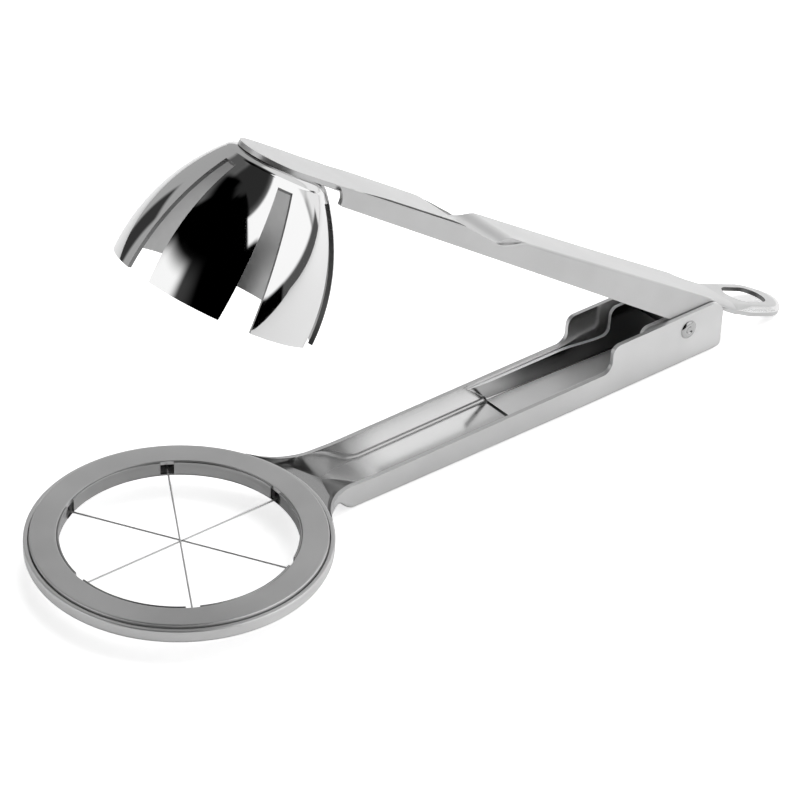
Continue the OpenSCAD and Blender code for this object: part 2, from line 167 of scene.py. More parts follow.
class Skin:
    """Collects grids of points in millimetres and joins them into one closed mesh.

    Points closer than the seam are merged and edges shorter than a sliver are dissolved, both in metres.
    """

    SEAM_M = 2e-6
    SLIVER_M = 1e-6
    EDGE_STEPS = 2

    def __init__(self) -> None:
        """Starts with no points."""
        self.points: list[np.ndarray] = []
        self.faces: list[np.ndarray] = []
        self.finishes: list[np.ndarray] = []
        self.count = 0

    def grid(self, p: np.ndarray, round_u: bool = False, round_v: bool = False,
             finish: int | np.ndarray = 0) -> None:
        """Adds a surface given on a grid of two parameters.

        Args:
            p: (U, V, 3) points.
            round_u: joins the last column to the first.
            round_v: joins the last row to the first.
            finish: number of the faces' finish, one for all or an array that fits the grid of faces.
        """
        u, v = p.shape[:2]
        index = np.arange(u * v).reshape(u, v) + self.count
        index = np.concatenate([index, index[:1]], axis=0) if round_u else index
        index = np.concatenate([index, index[:, :1]], axis=1) if round_v else index
        quads = np.stack([index[:-1, :-1], index[1:, :-1], index[1:, 1:], index[:-1, 1:]], axis=-1)
        self.faces.append(quads.reshape(-1, 4))
        self.finishes.append(np.broadcast_to(finish, quads.shape[:2]).ravel())
        self.points.append(p.reshape(-1, 3))
        self.count += u * v

    def wall(self, a: np.ndarray, b: np.ndarray, closed: bool = False, finish: int | np.ndarray = 0) -> None:
        """Adds the cut edge of a sheet, a strip between two lines of the same number of points."""
        self.grid(np.stack([a, b], axis=1), round_u=closed, finish=finish)

    def sheet(self, outer: np.ndarray, inner: np.ndarray, finish: int | np.ndarray = 0,
              front: int | np.ndarray = 0) -> None:
        """Adds both faces of a sheet and the cut edge around it.

        Args:
            outer: (U, V, 3) points of one face.
            inner: (U, V, 3) points of the other face.
            finish: number of the inner face's finish, one for all or one for each row of faces.
            front: number of the finish of the cut edge at the first column, one for all or a column of them.
        """
        self.grid(outer)
        self.grid(inner, finish=finish)
        self.wall(outer[0], inner[0], finish=front)
        for a, b in ((outer[:, 0], inner[:, 0]), (outer[:, -1], inner[:, -1]), (outer[-1], inner[-1])):
            self.wall(a, b)

    def piece(self, name: str, edge: float = 0.12, crease: float = 42.0) -> bpy.types.Object:
        """Makes the object, with merged seams, faces outwards and softly broken edges.

        Args:
            name: object name.
            edge: width of the broken edges in millimetres.
            crease: angle in degrees from which an edge counts as sharp.

        Returns:
            The new object, at the origin.
        """
        mesh = bpy.data.meshes.new(name)
        mesh.from_pydata(np.concatenate(self.points) * MM, [], np.concatenate(self.faces).tolist())
        mesh.polygons.foreach_set("material_index", np.concatenate(self.finishes).astype(np.int32))
        bm = bmesh.new()
        bm.from_mesh(mesh)
        bmesh.ops.remove_doubles(bm, verts=bm.verts, dist=self.SEAM_M)
        bmesh.ops.dissolve_degenerate(bm, edges=bm.edges, dist=self.SLIVER_M)
        bmesh.ops.recalc_face_normals(bm, faces=bm.faces)
        bm.to_mesh(mesh)
        bm.free()
        mesh.polygons.foreach_set("use_smooth", np.ones(len(mesh.polygons), bool))
        if edge == 0:
            mesh.set_sharp_from_angle(angle=math.radians(crease))
        obj = bpy.data.objects.new(name, mesh)
        bpy.context.collection.objects.link(obj)
        if edge > 0:
            bevel = obj.modifiers.new("broken_edges", "BEVEL")
            bevel.width = edge * MM
            bevel.segments = self.EDGE_STEPS
            bevel.limit_method = "ANGLE"
            bevel.angle_limit = math.radians(crease)
            bevel.harden_normals = True
        return obj


def put(tree: bpy.types.NodeTree, kind: str, sets: dict | None = None, joins: dict | None = None,
        **options: str) -> bpy.types.Node:
    """Adds a shader node.

    Args:
        tree: the node tree.
        kind: the node's type, without the prefix that all shader nodes share.
        sets: constants, by the input's name or number.
        joins: sockets of other nodes, by the input's name or number.
        options: the node's own settings.

    Returns:
        The new node.
    """
    node = tree.nodes.new("ShaderNode" + kind)
    for name, option in options.items():
        setattr(node, name, option)
    for key, constant in (sets or {}).items():
        node.inputs[key].default_value = constant
    for key, socket in (joins or {}).items():
        tree.links.new(socket, node.inputs[key])
    return node


def grey_ramp(tree: bpy.types.NodeTree, fac: bpy.types.NodeSocket, stops: list[Pair],
              blend: str = "LINEAR") -> bpy.types.NodeSocket:
    """Turns a value into greys.

    Args:
        tree: the node tree.
        fac: the value, from 0 to 1.
        stops: places along the value, each with its grey.
        blend: how the greys run into each other.

    Returns:
        The colour socket of the result.
    """
    node = put(tree, "ValToRGB", joins={"Fac": fac})
    ramp = node.color_ramp
    ramp.interpolation = blend
    for _ in stops[2:]:
        ramp.elements.new(0.5)
    for stop, (place, grey) in zip(ramp.elements, stops):
        stop.position = place
        stop.color = (grey, grey, grey, 1.0)
    return node.outputs["Color"]


def noise(tree: bpy.types.NodeTree, place: bpy.types.NodeSocket, scale: float,
          detail: float) -> bpy.types.NodeSocket:
    """Adds noise and returns its value's socket."""
    return put(tree, "TexNoise", {"Scale": scale, "Detail": detail}, {"Vector": place}).outputs["Fac"]


def even(scale: float) -> tuple[float, float, float]:
    """Grain that is alike in all directions."""
    return scale, scale, scale


@dataclass(frozen=True)
class SteelFinish:
    """A stainless steel finish: grey metal with fine brushed grain and soft uneven patches.

    The grain is noise stretched along the brushing, which moves both the roughness and a fine bump; the
    patches are broad noise, which moves the grey and the roughness a little, as handling does. Scales are per
    metre and depths in metres. A painted shade darkens the grey along the arm, by shares given at places x in
    millimetres, where shade falls in the pressing.
    """

    name: str
    grey: float = 0.8
    patch: float = 0.03
    rough: float = 0.2
    rough_spread: float = 0.08
    grain: tuple[float, float, float] = (120.0, 2500.0, 2500.0)
    tilt: float = 0.0
    bump: float = 0.05
    wave: float = 0.0
    metal: float = 1.0
    # Painted shade: shares of the grey at places along the arm, where shade falls.
    tone: tuple[Pair, ...] = ()
    least_rough: float = 0.01
    grain_detail: float = 4.0
    grain_depth: float = 0.00002
    patch_scale: float = 70.0
    patch_detail: float = 2.0
    patch_range: Pair = (0.3, 0.7)
    gloss_range: Pair = (0.12, 0.4)
    wave_scale: float = 110.0
    wave_detail: float = 1.0
    wave_depth: float = 0.0004

    def toned(self, tree: bpy.types.NodeTree, place: bpy.types.NodeSocket,
              grey: bpy.types.NodeSocket) -> bpy.types.NodeSocket:
        """Paints shade along the arm by darkening the grey.

        Args:
            tree: the node tree.
            place: the coordinate socket.
            grey: the plain grey.

        Returns:
            The colour socket of the result.
        """
        if not self.tone:
            return grey
        first, last = self.tone[0][0], self.tone[-1][0]
        x = put(tree, "SeparateXYZ", joins={"Vector": place}).outputs["X"]
        ends = {"From Min": first * MM, "From Max": last * MM}
        along = put(tree, "MapRange", ends, {"Value": x}).outputs["Result"]
        stops = [((x - first) / (last - first), share) for x, share in self.tone]
        shares = grey_ramp(tree, along, stops, "EASE")
        mix = put(tree, "MixRGB", {"Fac": 1.0}, {"Color1": grey, "Color2": shares}, blend_type="MULTIPLY")
        return mix.outputs["Color"]

    def material(self) -> bpy.types.Material:
        """Builds the finish's node material on Object coordinates."""
        mat = bpy.data.materials.new(self.name)
        mat.use_nodes = True
        tree = mat.node_tree
        shader = tree.nodes["Principled BSDF"].inputs
        shader["Metallic"].default_value = self.metal
        place = put(tree, "TexCoord").outputs["Object"]
        turn = (0.0, math.radians(self.tilt), 0.0)
        along = put(tree, "Mapping", {"Rotation": turn}, {"Vector": place}).outputs["Vector"]
        fine = put(tree, "Mapping", {"Scale": self.grain}, {"Vector": along}).outputs["Vector"]
        brushed = noise(tree, fine, 1.0, self.grain_detail)
        patches = noise(tree, along, self.patch_scale, self.patch_detail)
        greys = (max(self.grey - self.patch, 0.0), min(self.grey + self.patch, 1.0))
        grey = grey_ramp(tree, patches, list(zip(self.patch_range, greys)))
        tree.links.new(self.toned(tree, place, grey), shader["Base Color"])
        both = put(tree, "Math", joins={0: brushed, 1: patches}, operation="MULTIPLY").outputs["Value"]
        gloss = put(tree, "MapRange", {
            "From Min": self.gloss_range[0], "From Max": self.gloss_range[1],
            "To Min": max(self.rough - self.rough_spread / 2, self.least_rough),
            "To Max": self.rough + self.rough_spread / 2}, {"Value": both})
        tree.links.new(gloss.outputs["Result"], shader["Roughness"])
        relief = put(tree, "Bump", {"Strength": self.bump, "Distance": self.grain_depth}, {"Height": brushed})
        if self.wave > 0:
            ripple = noise(tree, along, self.wave_scale, self.wave_detail)
            depth = {"Strength": self.wave, "Distance": self.wave_depth}
            swell = put(tree, "Bump", depth, {"Height": ripple})
            tree.links.new(swell.outputs["Normal"], relief.inputs["Normal"])
        tree.links.new(relief.outputs["Normal"], shader["Normal"])
        return mat


def dress(obj: bpy.types.Object, mats: list[bpy.types.Material], slot: Slot, body: Body, *nodes: str) -> None:
    """Gives a new piece its finishes and body, and lets it stand for CAD nodes.

    Args:
        obj: the piece.
        mats: its finishes, by number.
        slot: the record's slot that the finish belongs to; not used.
        body: the body that carries it.
        nodes: CAD nodes that it replaces.
    """
    for mat in mats:
        obj.data.materials.append(mat)
    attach(obj, body.value)
    if nodes:
        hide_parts(*nodes)
    LOG.info("%s rides on %s, %d faces", obj.name, body.value, len(obj.data.polygons))


@dataclass
class LowerArm:
    """The lower pressing: U channel with hinge cheeks, neck, and the round tray of the ring.

    Lengths are in millimetres, and places run along the arm from the ring at -X to the hinge.
    """

    # Ring and tray
    ring_x: float = -139.5
    ring_r: float = 32.69
    bore_r: float = 25.4
    ring_low: float = 4.1
    tray_floor: float = 5.1
    tray_mid_r: float = 28.5
    tray_top: float = 7.2
    lip_top: float = 8.2
    lip_r: float = 0.26
    lip_foot: float = 6.4
    lip_flare: float = 0.1
    rim_top: float = 7.5
    rim_in: float = 31.7
    rim_r: float = 0.35
    rim_in_r: float = 0.15
    foot_r: float = 1.3
    bore_foot_r: float = 0.9
    bore_top_r: float = 0.25
    notches: int = 6
    # Width of the bore's band that takes the darker finish: painted shade.
    notch_w: float = 3.0
    shade_paint_w: float = 0.3
    # Channel walls and cheeks
    sheet: float = 1.0
    wall_top: float = 7.0
    hinge_half: float = 8.2
    taper_x: float = -31.0
    taper_l: float = 67.6
    draft: float = 0.95
    draft_inside: float = 0.15
    step_x: float = -26.4
    step_r: float = 2.6
    cheek_r: float = 2.2
    cheek_top: float = 13.6
    cheek_flat: Pair = (-19.0, 5.0)
    rear_x: float = 11.2
    rear_r: float = 4.0
    rear_flat: Pair = (8.6, 3.2)
    heel_r: float = 2.2
    heel_end: float = -76.0
    outer_bend: float = 1.6
    inner_bend: float = 0.95
    bend_share: float = 0.9
    # Neck
    neck_half: float = 8.0
    neck_r: float = 13.5
    neck_x: float = -103.8
    rim_climb_x: float = -90.8
    rim_over: float = 0.015
    lap: float = 0.5
    upright_x: float = -100.0
    lift_x: float = -97.8
    under_turn: float = 0.5
    climb_x: float = -86.0
    climb_straight: float = 0.45
    facet_x: float = -101.0
    facet_flat: float = 0.85
    crest_x: float = -102.3
    crest_l: float = 13.0
    shelf: float = 6.0
    shelf_bend: float = 1.8
    shelf_share: float = 0.98
    shelf_before: float = 0.8
    shelf_after: float = 2.6
    # Small distances that keep surfaces apart, and rows of faces in a half section
    hair: float = 0.02
    slack: float = 0.01
    walls: int = 10
    bends: int = 10
    turns: int = 4
    floors: int = 10

    def __post_init__(self) -> None:
        """Finds where the neck's fillet touches the ring."""
        reach = self.ring_r + self.neck_r
        self.fillet_y = self.neck_half + self.neck_r
        self.fillet_x = self.ring_x + math.sqrt(reach ** 2 - self.fillet_y ** 2)
        self.touch = math.atan2(self.fillet_y, self.fillet_x - self.ring_x)
        self.touch_x = self.ring_x + self.ring_r * math.cos(self.touch)

    def top_half(self, x: np.ndarray) -> np.ndarray:
        """Half width of the wall's top edge: straight and slightly tapered, then the neck's fillet."""
        taper = np.clip((x - self.fillet_x) / self.taper_l, 0, 1)
        line = self.neck_half + (self.hinge_half - self.neck_half) * taper
        d = np.clip(self.fillet_x - x, 0, self.neck_r)
        return line + self.neck_r - np.sqrt(self.neck_r ** 2 - d ** 2)

    def low_half(self, x: np.ndarray) -> np.ndarray:
        """Half width of the wall's foot: the top edge less the wall's lean, which grows towards the neck."""
        lean = self.draft * np.clip((self.taper_x - x) / self.taper_l, 0, 1)
        return self.top_half(x) - lean * (1 - run(x, self.upright_x, self.touch_x))

    def columns(self) -> dict[str, np.ndarray]:
        """Lines of the channel from the ring to the rear, close together along the neck.

        The cheek's outline steps up from the wall in two arcs, runs level, and comes down to the heel.

        Returns:
            Arrays of (columns, 1): top edge (xt, zt), foot (xb), middle (xc) and half widths (yt, yb).
        """
        lead_end, lead_steps = -104.0, 14
        lead = np.linspace(self.touch_x, lead_end, lead_steps)
        lead_mid = np.linspace(self.ring_x + self.ring_r, lead_end, lead_steps)
        straight = lines((-103.7, self.climb_x, 52), (-84.5, -28.0, 34))
        cheek_x = self.step_x + self.step_r + self.cheek_r
        top = np.concatenate([
            arc(self.step_x, self.wall_top + self.step_r, self.step_r, -90, 0, 10),
            arc(cheek_x, self.cheek_top - self.cheek_r, self.cheek_r, 180, 90, 9),
            level(*self.cheek_flat, self.cheek_top, 12),
            arc(self.rear_x - self.rear_r, self.cheek_top - self.rear_r, self.rear_r, 90, 0, 11),
            level(*self.rear_flat, self.rear_x, 6)[:, ::-1],
            arc(self.rear_x - self.heel_r, self.heel_r, self.heel_r, 0, self.heel_end, 5)])
        foot = lines((-26.6, -20.0, 19), (-18.6, 4.2, 12), (5.2, self.rear_x - self.heel_r, 22))
        inside = self.rim_in + self.lap
        x0 = np.array([self.ring_x + inside * math.cos(self.touch)])
        flat = np.concatenate([x0, lead, straight])
        mid = np.concatenate([[self.ring_x + inside], lead_mid, straight])
        over = self.rim_top + self.rim_over - self.wall_top
        rise = self.wall_top + over * run(flat, self.rim_climb_x, self.neck_x)
        out = {
            "xt": np.concatenate([flat, top[:, 0]]), "zt": np.concatenate([rise, top[:, 1]]),
            "xb": np.concatenate([flat, foot]), "xc": np.concatenate([mid, foot]),
        }
        out["yt"], out["yb"] = self.top_half(out["xt"]), self.low_half(out["xb"])
        out["yt"][0] = out["yb"][0] = inside * math.sin(self.touch)
        return {k: v[:, None] for k, v in out.items()}

    def floor_z(self, x: np.ndarray) -> np.ndarray:
        """Height of the channel's floor, which climbs along the neck to the shelf."""
        t = np.clip((self.climb_x - x) / (self.climb_x - self.crest_x), 0, 1)
        climb = self.climb_straight * t + (1 - self.climb_straight) * ease(t)
        return self.sheet + (self.shelf - self.sheet) * climb

    def half(self, side: Side) -> np.ndarray:
        """Half sections of one face, top edge to middle.

        A section is a straight wall, a bend, and a floor. On the inside the wall stands nearly square and the
        bend is a quarter of a superellipse that widens along the neck, so that the floor narrows to a point
        at the crest between two rising facets; past the crest a level shelf runs on to the ring. On the
        outside the wall leans, and its foot turns under and climbs to the raised floor; at the rear the
        heel's round outline cuts the bend.

        Args:
            side: which face.

        Returns:
            Array of (columns, rows, 3) points.
        """
        c = self.columns()
        x, zt, yt, yb = c["xb"], c["zt"], c["yt"], c["yb"]
        floor = self.floor_z(x)
        thin = self.sheet * (side is Side.INNER)
        down = np.linspace(0, 1, self.walls + 1)[None]
        across = np.linspace(1, 0, self.floors + 1)[None, 1:]
        if side is Side.INNER:
            grow = run(x, self.climb_x, self.facet_x)
            even_out = run(x, self.crest_x + self.shelf_before, self.crest_x - self.shelf_after)
            room = np.maximum(zt - floor, 0.0)
            up = np.minimum(self.inner_bend, room * self.bend_share) * (1 - grow) + room * grow
            up = up * (1 - even_out) + np.minimum(self.shelf_bend, room * self.shelf_share) * even_out
            power = 2.0 - self.facet_flat * grow * (1 - even_out)
            start = floor + up
            yb = yt - self.draft_inside * (yt - yb)
            wide = (yb - thin - self.inner_bend) * np.clip((x - self.crest_x) / self.crest_l, 0, 1)
            wide = wide + (yb - thin - self.shelf_bend - wide) * even_out
        else:
            lift = self.ring_low * run(x, self.lift_x, self.neck_x)
            bend = self.outer_bend
            start = np.minimum(zt, lift + bend)
        lost = np.clip((self.outer_bend - zt) / self.outer_bend, 0, 1)
        wall_z = zt + (start - zt) * down
        wall_y = (yb - thin) + (yt - yb) * np.clip(wall_z / zt, 0, 1)
        wall_y = wall_y - self.outer_bend * (1 - np.sqrt(1 - lost ** 2))
        wall_x = c["xt"] + (c["xb"] - c["xt"]) * down
        foot_y = wall_y[:, -1:]
        if side is Side.INNER:
            turn = np.linspace(0, np.pi / 2, self.bends + self.turns + 1)[None, 1:]
            wide = np.minimum(wide, foot_y - self.hair)
            bend_y = wide + (foot_y - wide) * np.cos(turn).clip(0, 1) ** (2 / power)
            bend_z = floor + up - up * np.sin(turn) ** (2 / power)
            flat_y, flat_z = wide * across, floor + 0 * across
        else:
            first = np.arcsin(lost)
            turn = first + (np.pi / 2 - first) * np.linspace(0, 1, self.bends + 1)[None, 1:]
            out_y = foot_y + bend * (np.cos(turn) - np.cos(first))
            out_z = lift + bend - bend * np.sin(turn)
            step = np.linspace(0, 1, self.turns + 1)[None, 1:]
            back_y = out_y[:, -1:] - self.under_turn * step
            under = np.maximum(floor - self.sheet, lift)
            back_z = lift + (under - lift) * ease(step)
            bend_y, bend_z = np.concatenate([out_y, back_y], 1), np.concatenate([out_z, back_z], 1)
            flat_y, flat_z = back_y[:, -1:] * across, under + 0 * across
        y = np.concatenate([wall_y, bend_y, flat_y], 1)
        z = np.concatenate([wall_z, bend_z, flat_z], 1)
        xs = np.concatenate([wall_x, np.repeat(x, y.shape[1] - wall_x.shape[1], 1)], 1)
        bow = c["xc"] != c["xb"]
        xs = np.where(bow, c["xc"] + (c["xb"] - c["xc"]) * (y / yt) ** 2, xs)
        return np.stack([xs, y, z], axis=-1)

    def tray_profile(self) -> np.ndarray:
        """Closed section (r, z) of the ring tray: floor, rim wall and inner wall, with pressed roundings.

        Points just before the roundings keep the straight stretches flat.
        """
        b, s, low, mid = self.bore_r, self.sheet, self.ring_low, self.tray_mid_r
        lip = b + self.slack
        return np.concatenate([
            [[b + s / 2, self.tray_top], [lip + self.lip_r, self.tray_top]],
            arc(lip, self.lip_top - self.lip_r, self.lip_r, 0, 180, 9),
            [[b - self.lip_flare, self.tray_top], [b, self.lip_foot], [b, 5.2]],
            arc(b + self.bore_foot_r, low + self.bore_foot_r, self.bore_foot_r, 180, 270, 7), [[mid, low]],
            arc(self.ring_r - self.foot_r, low + self.foot_r, self.foot_r, 270, 360, 9), [[self.ring_r, 6.3]],
            arc(self.ring_r - self.rim_r, self.rim_top - self.rim_r, self.rim_r, 0, 90, 6),
            arc(self.rim_in + self.rim_in_r, self.rim_top - self.rim_in_r, self.rim_in_r, 90, 180, 4),
            [[self.rim_in, 6.0], [self.rim_in, self.tray_floor], [mid, self.tray_floor],
             [b + s, self.tray_floor], [b + s, 6.2]],
            arc(b + s - self.bore_top_r, self.tray_top - self.bore_top_r, self.bore_top_r, 0, 90, 4)])

    def tray(self) -> np.ndarray:
        """The tray as its section swept around the ring, with the inner wall cut down at the wire notches.

        Returns:
            Array of (columns, rows, 3) points, closed both ways.
        """
        pitch, notch_steps, arc_steps = 360 / self.notches, 6, 28
        gap = math.degrees(math.asin(self.notch_w / 2 / (self.bore_r + self.sheet / 2)))
        between = np.linspace(gap, pitch - gap, arc_steps + 2)[1:-1]
        sector = np.concatenate([[-gap], np.linspace(-gap, gap, notch_steps), [gap], between])
        cut = np.concatenate([[0], np.ones(notch_steps), np.zeros(1 + arc_steps)])
        angle = np.radians(np.concatenate([sector + pitch * k for k in range(self.notches)]))[:, None]
        cut = np.tile(cut, self.notches)[:, None]
        p = self.tray_profile()
        r, z = p[None, :, 0], p[None, :, 1]
        low = np.minimum(z, self.tray_floor + self.hair)
        z = np.where((cut > 0) & (r < self.bore_r + self.sheet + self.slack), low, z + 0 * angle)
        return np.stack([self.ring_x + r * np.cos(angle), r * np.sin(angle), z], axis=-1)

    def build(self, satin: bpy.types.Material, bright: bpy.types.Material, corner: bpy.types.Material,
              shade_paint: bpy.types.Material) -> None:
        """Builds and dresses the channel with its neck, and the ring tray.

        Args:
            satin: finish of the outside.
            bright: finish of the channel's inside, with painted shade that darkens it along the neck.
            corner: finish of the inside's bends and facets, a darker grey that paints the shade in the
                creases, darker still along the neck.
            shade_paint: finish of the tray's bore, a darker grey that paints the shade inside the ring.
        """
        channel = Skin()
        # The bends take the darker corner finish: painted shade in the creases.
        inside = rows((self.walls, self.bends + self.turns, self.floors), (1, 2, 1))
        channel.sheet(both_sides(self.half(Side.OUTER)), both_sides(self.half(Side.INNER)), finish=inside)
        obj = channel.piece("lower_arm_channel", edge=0.14)
        dress(obj, [satin, bright, corner], Slot.ARM, Body.LOWER, "lower_arm")
        tray = Skin()
        r = self.tray_profile()[:, 0]
        # The bore's faces take the darker finish: painted shade inside the ring.
        bore = ((r + np.roll(r, -1)) / 2 < self.bore_r + self.shade_paint_w).astype(int)
        tray.grid(self.tray(), round_u=True, round_v=True, finish=bore[None])
        obj = tray.piece("lower_arm_ring_tray", edge=0.0, crease=38.0)
        dress(obj, [satin, shade_paint], Slot.ARM, Body.LOWER)


@dataclass
class RingCover:
    """The flat cover ring that closes the tray, with broken edges."""

    ring_x: float = LowerArm.ring_x
    inner_r: float = 25.7
    inner_edge: float = 0.2
    outer_r: float = 31.45
    outer_edge: float = 0.3
    flat: Pair = (26.4, 31.0)
    under_r: float = 28.0
    low: float = LowerArm.tray_top
    top: float = LowerArm.lip_top
    columns: int = 240

    def build(self, mat: bpy.types.Material) -> None:
        """Sweeps the washer's rounded section around the ring and dresses it."""
        p = np.concatenate([
            arc(self.inner_r + self.inner_edge, self.top - self.inner_edge, self.inner_edge, 180, 90, 5),
            level(*self.flat, self.top, 7),
            arc(self.outer_r - self.outer_edge, self.top - self.outer_edge, self.outer_edge, 90, 0, 6),
            [[self.outer_r, self.low], [self.under_r, self.low], [self.inner_r, self.low]]])
        a = full_turn(self.columns)
        r, z = p[None, :, 0], p[None, :, 1] + 0 * a
        skin = Skin()
        skin.grid(np.stack([self.ring_x + r * np.cos(a), r * np.sin(a), z], -1), round_u=True, round_v=True)
        obj = skin.piece("ring_cover_washer", edge=0.0, crease=50.0)
        dress(obj, [mat], Slot.COVER, Body.LOWER, "ring_cover")


@dataclass
class HingeBracket:
    """The U liner in the channel, with a leaning front edge and two ears at the rivet."""

    half: float = 5.7
    front_half: float = 7.1
    foot_half: float = 5.9
    sheet: float = 0.9
    front_sheet: float = 0.45
    low: float = LowerArm.sheet
    top: float = 6.2
    bend: float = 0.95
    bend_less: float = 0.75
    front_top_x: float = -54.2
    front_foot_x: float = -48.7
    full_sheet_x: float = -43.0
    ears_x: float = -17.0
    step_x: float = -14.5
    step_r: float = 2.0
    ear_top: float = 13.0
    ear_flat: Pair = (-9.0, 7.9)
    rear_x: float = 9.8
    rear_heights: tuple[float, float, float] = (11.8, 8.0, 4.5)
    top_turn: Pair = (-15.0, -27.0)
    foot_bends: tuple[float, float, float] = (-51.0, -17.0, -10.0)
    walls: int = 8
    bends: int = 12
    floors: int = 8
    # Rows at the top of the walls whose front edge takes the near-black finish: a painted shadow.
    shadow_painted_rows: int = 5

    def build(self, mat: bpy.types.Material, side: bpy.types.Material, cut: bpy.types.Material) -> None:
        """Rules the walls between the ears' outline and the floor, bends them into the floor, and dresses it.

        In plan the foot of a wall runs straight from the front corner in towards the ears, while its top edge
        keeps along the channel's wall and turns in only before the ears, so that the wall twists on its way.

        Args:
            mat: finish of the floor and the outside.
            side: finish of the walls' inside and bends, a darker grey that paints shade, darker still from
                near the front edge towards the ears.
            cut: finish of the front edge on the floor and at the top of the walls, near black as a painted
                shadow under that edge.
        """
        r, rear = self.step_r, self.rear_x
        edge = np.concatenate([
            level(self.front_top_x, self.ears_x, self.top, 22),
            arc(self.step_x, self.top + r, r, -90, 0, 8),
            arc(self.step_x + 2 * r, self.ear_top - r, r, 180, 90, 8),
            level(*self.ear_flat, self.ear_top, 10), [[rear, height] for height in self.rear_heights]])
        foot = lines((self.front_foot_x, self.ears_x, 22), (-16.0, -9.6, 16), (-8.6, 7.6, 10), (8.8, rear, 3))
        xt, zt, xb = edge[:, :1], edge[:, 1:], foot[:, None]
        thick = run(xb, self.front_foot_x, self.full_sheet_x)
        thick = self.front_sheet + (self.sheet - self.front_sheet) * thick
        top_half = self.half + (self.front_half - self.half) * run(xt, *self.top_turn)
        foot_half = np.interp(xb, self.foot_bends, [self.front_half, self.foot_half, self.half])
        down = np.linspace(0, 1, self.walls + 1)[None]
        turn = np.linspace(0, np.pi / 2, self.bends + 1)[None, 1:]
        across = np.linspace(1, 0, self.floors + 1)[None, 1:]
        skins = []
        for inset in (0.0 * thick, thick):
            low, bend, wide = self.low + inset, self.bend - self.bend_less * inset, foot_half - inset
            wall_x, wall_z = xt + (xb - xt) * down, zt + (low + bend - zt) * down
            wall_y = top_half - inset + (foot_half - top_half) * down
            y = np.concatenate([wall_y, wide - bend + bend * np.cos(turn), (wide - bend) * across], 1)
            z = np.concatenate([wall_z, low + bend - bend * np.sin(turn), low + 0 * across], 1)
            x = np.concatenate([wall_x, np.repeat(xb, self.bends + self.floors, 1)], 1)
            skins.append(both_sides(np.stack([x, y, z], -1)))
        # The walls and bends inside take the dark side finish: painted shade.
        inside = rows((self.walls, self.bends, self.floors), (1, 1, 0))
        # The front edge is near black on the floor and at the walls' top: a painted shadow under it.
        front = rows((self.shadow_painted_rows, self.walls + self.bends - self.shadow_painted_rows, self.floors), (2, 0, 2))
        skin = Skin()
        skin.sheet(*skins, finish=inside, front=front[:, None])
        obj = skin.piece("hinge_bracket_liner", edge=0.1)
        dress(obj, [mat, side, cut], Slot.BRACKET, Body.LOWER, "hinge_bracket")


@dataclass
class PivotRivet:
    """The hinge rivet, with a peened near head that has a dimple, and a flat closed end.

    The heads are (radius, height over the cheek) pairs.
    """

    height: float = 9.5
    half: float = LowerArm.hinge_half
    shank_r: float = 1.5
    near_head: tuple[Pair, ...] = (
        (0.0, 0.12), (0.5, 0.14), (0.8, 0.28), (1.0, 0.5), (1.25, 0.585),
        (1.6, 0.56), (1.95, 0.42), (2.2, 0.22), (2.3, 0.02), (2.3, 0.0))
    far_head: tuple[Pair, ...] = ((1.9, 0.0), (1.9, 0.16), (1.75, 0.27), (1.4, 0.3), (0.0, 0.3))
    columns: int = 64

    def build(self, mat: bpy.types.Material) -> None:
        """Turns the rivet's section about the hinge axis and dresses it."""
        near = np.array(self.near_head) * [1.0, -1.0] - [0.0, self.half]
        far = np.array(self.far_head) + [0.0, self.half]
        p = np.concatenate([near, [[self.shank_r, -self.half], [self.shank_r, self.half]], far])
        a = full_turn(self.columns)
        r, y = p[None, :, 0], p[None, :, 1] + 0 * a
        skin = Skin()
        skin.grid(np.stack([r * np.cos(a), y, self.height + r * np.sin(a)], -1), round_u=True)
        obj = skin.piece("pivot_rivet_peened", edge=0.0, crease=50.0)
        dress(obj, [mat], Slot.RIVET, Body.LOWER, "pivot_rivet")


@dataclass
class OpenArm:
    """The upper arm's own frame: hinge axis at its origin, tilted open at rest."""

    hinge_h: float = PivotRivet.height
    angle: float = 32.4

    def place(self, p: np.ndarray) -> np.ndarray:
        """Turns points of the arm's frame into the part's frame at rest."""
        c, s = math.cos(math.radians(self.angle)), math.sin(math.radians(self.angle))
        x, y, z = p[..., 0], p[..., 1], p[..., 2]
        return np.stack([x * c + z * s, y, self.hinge_h - x * s + z * c], axis=-1)


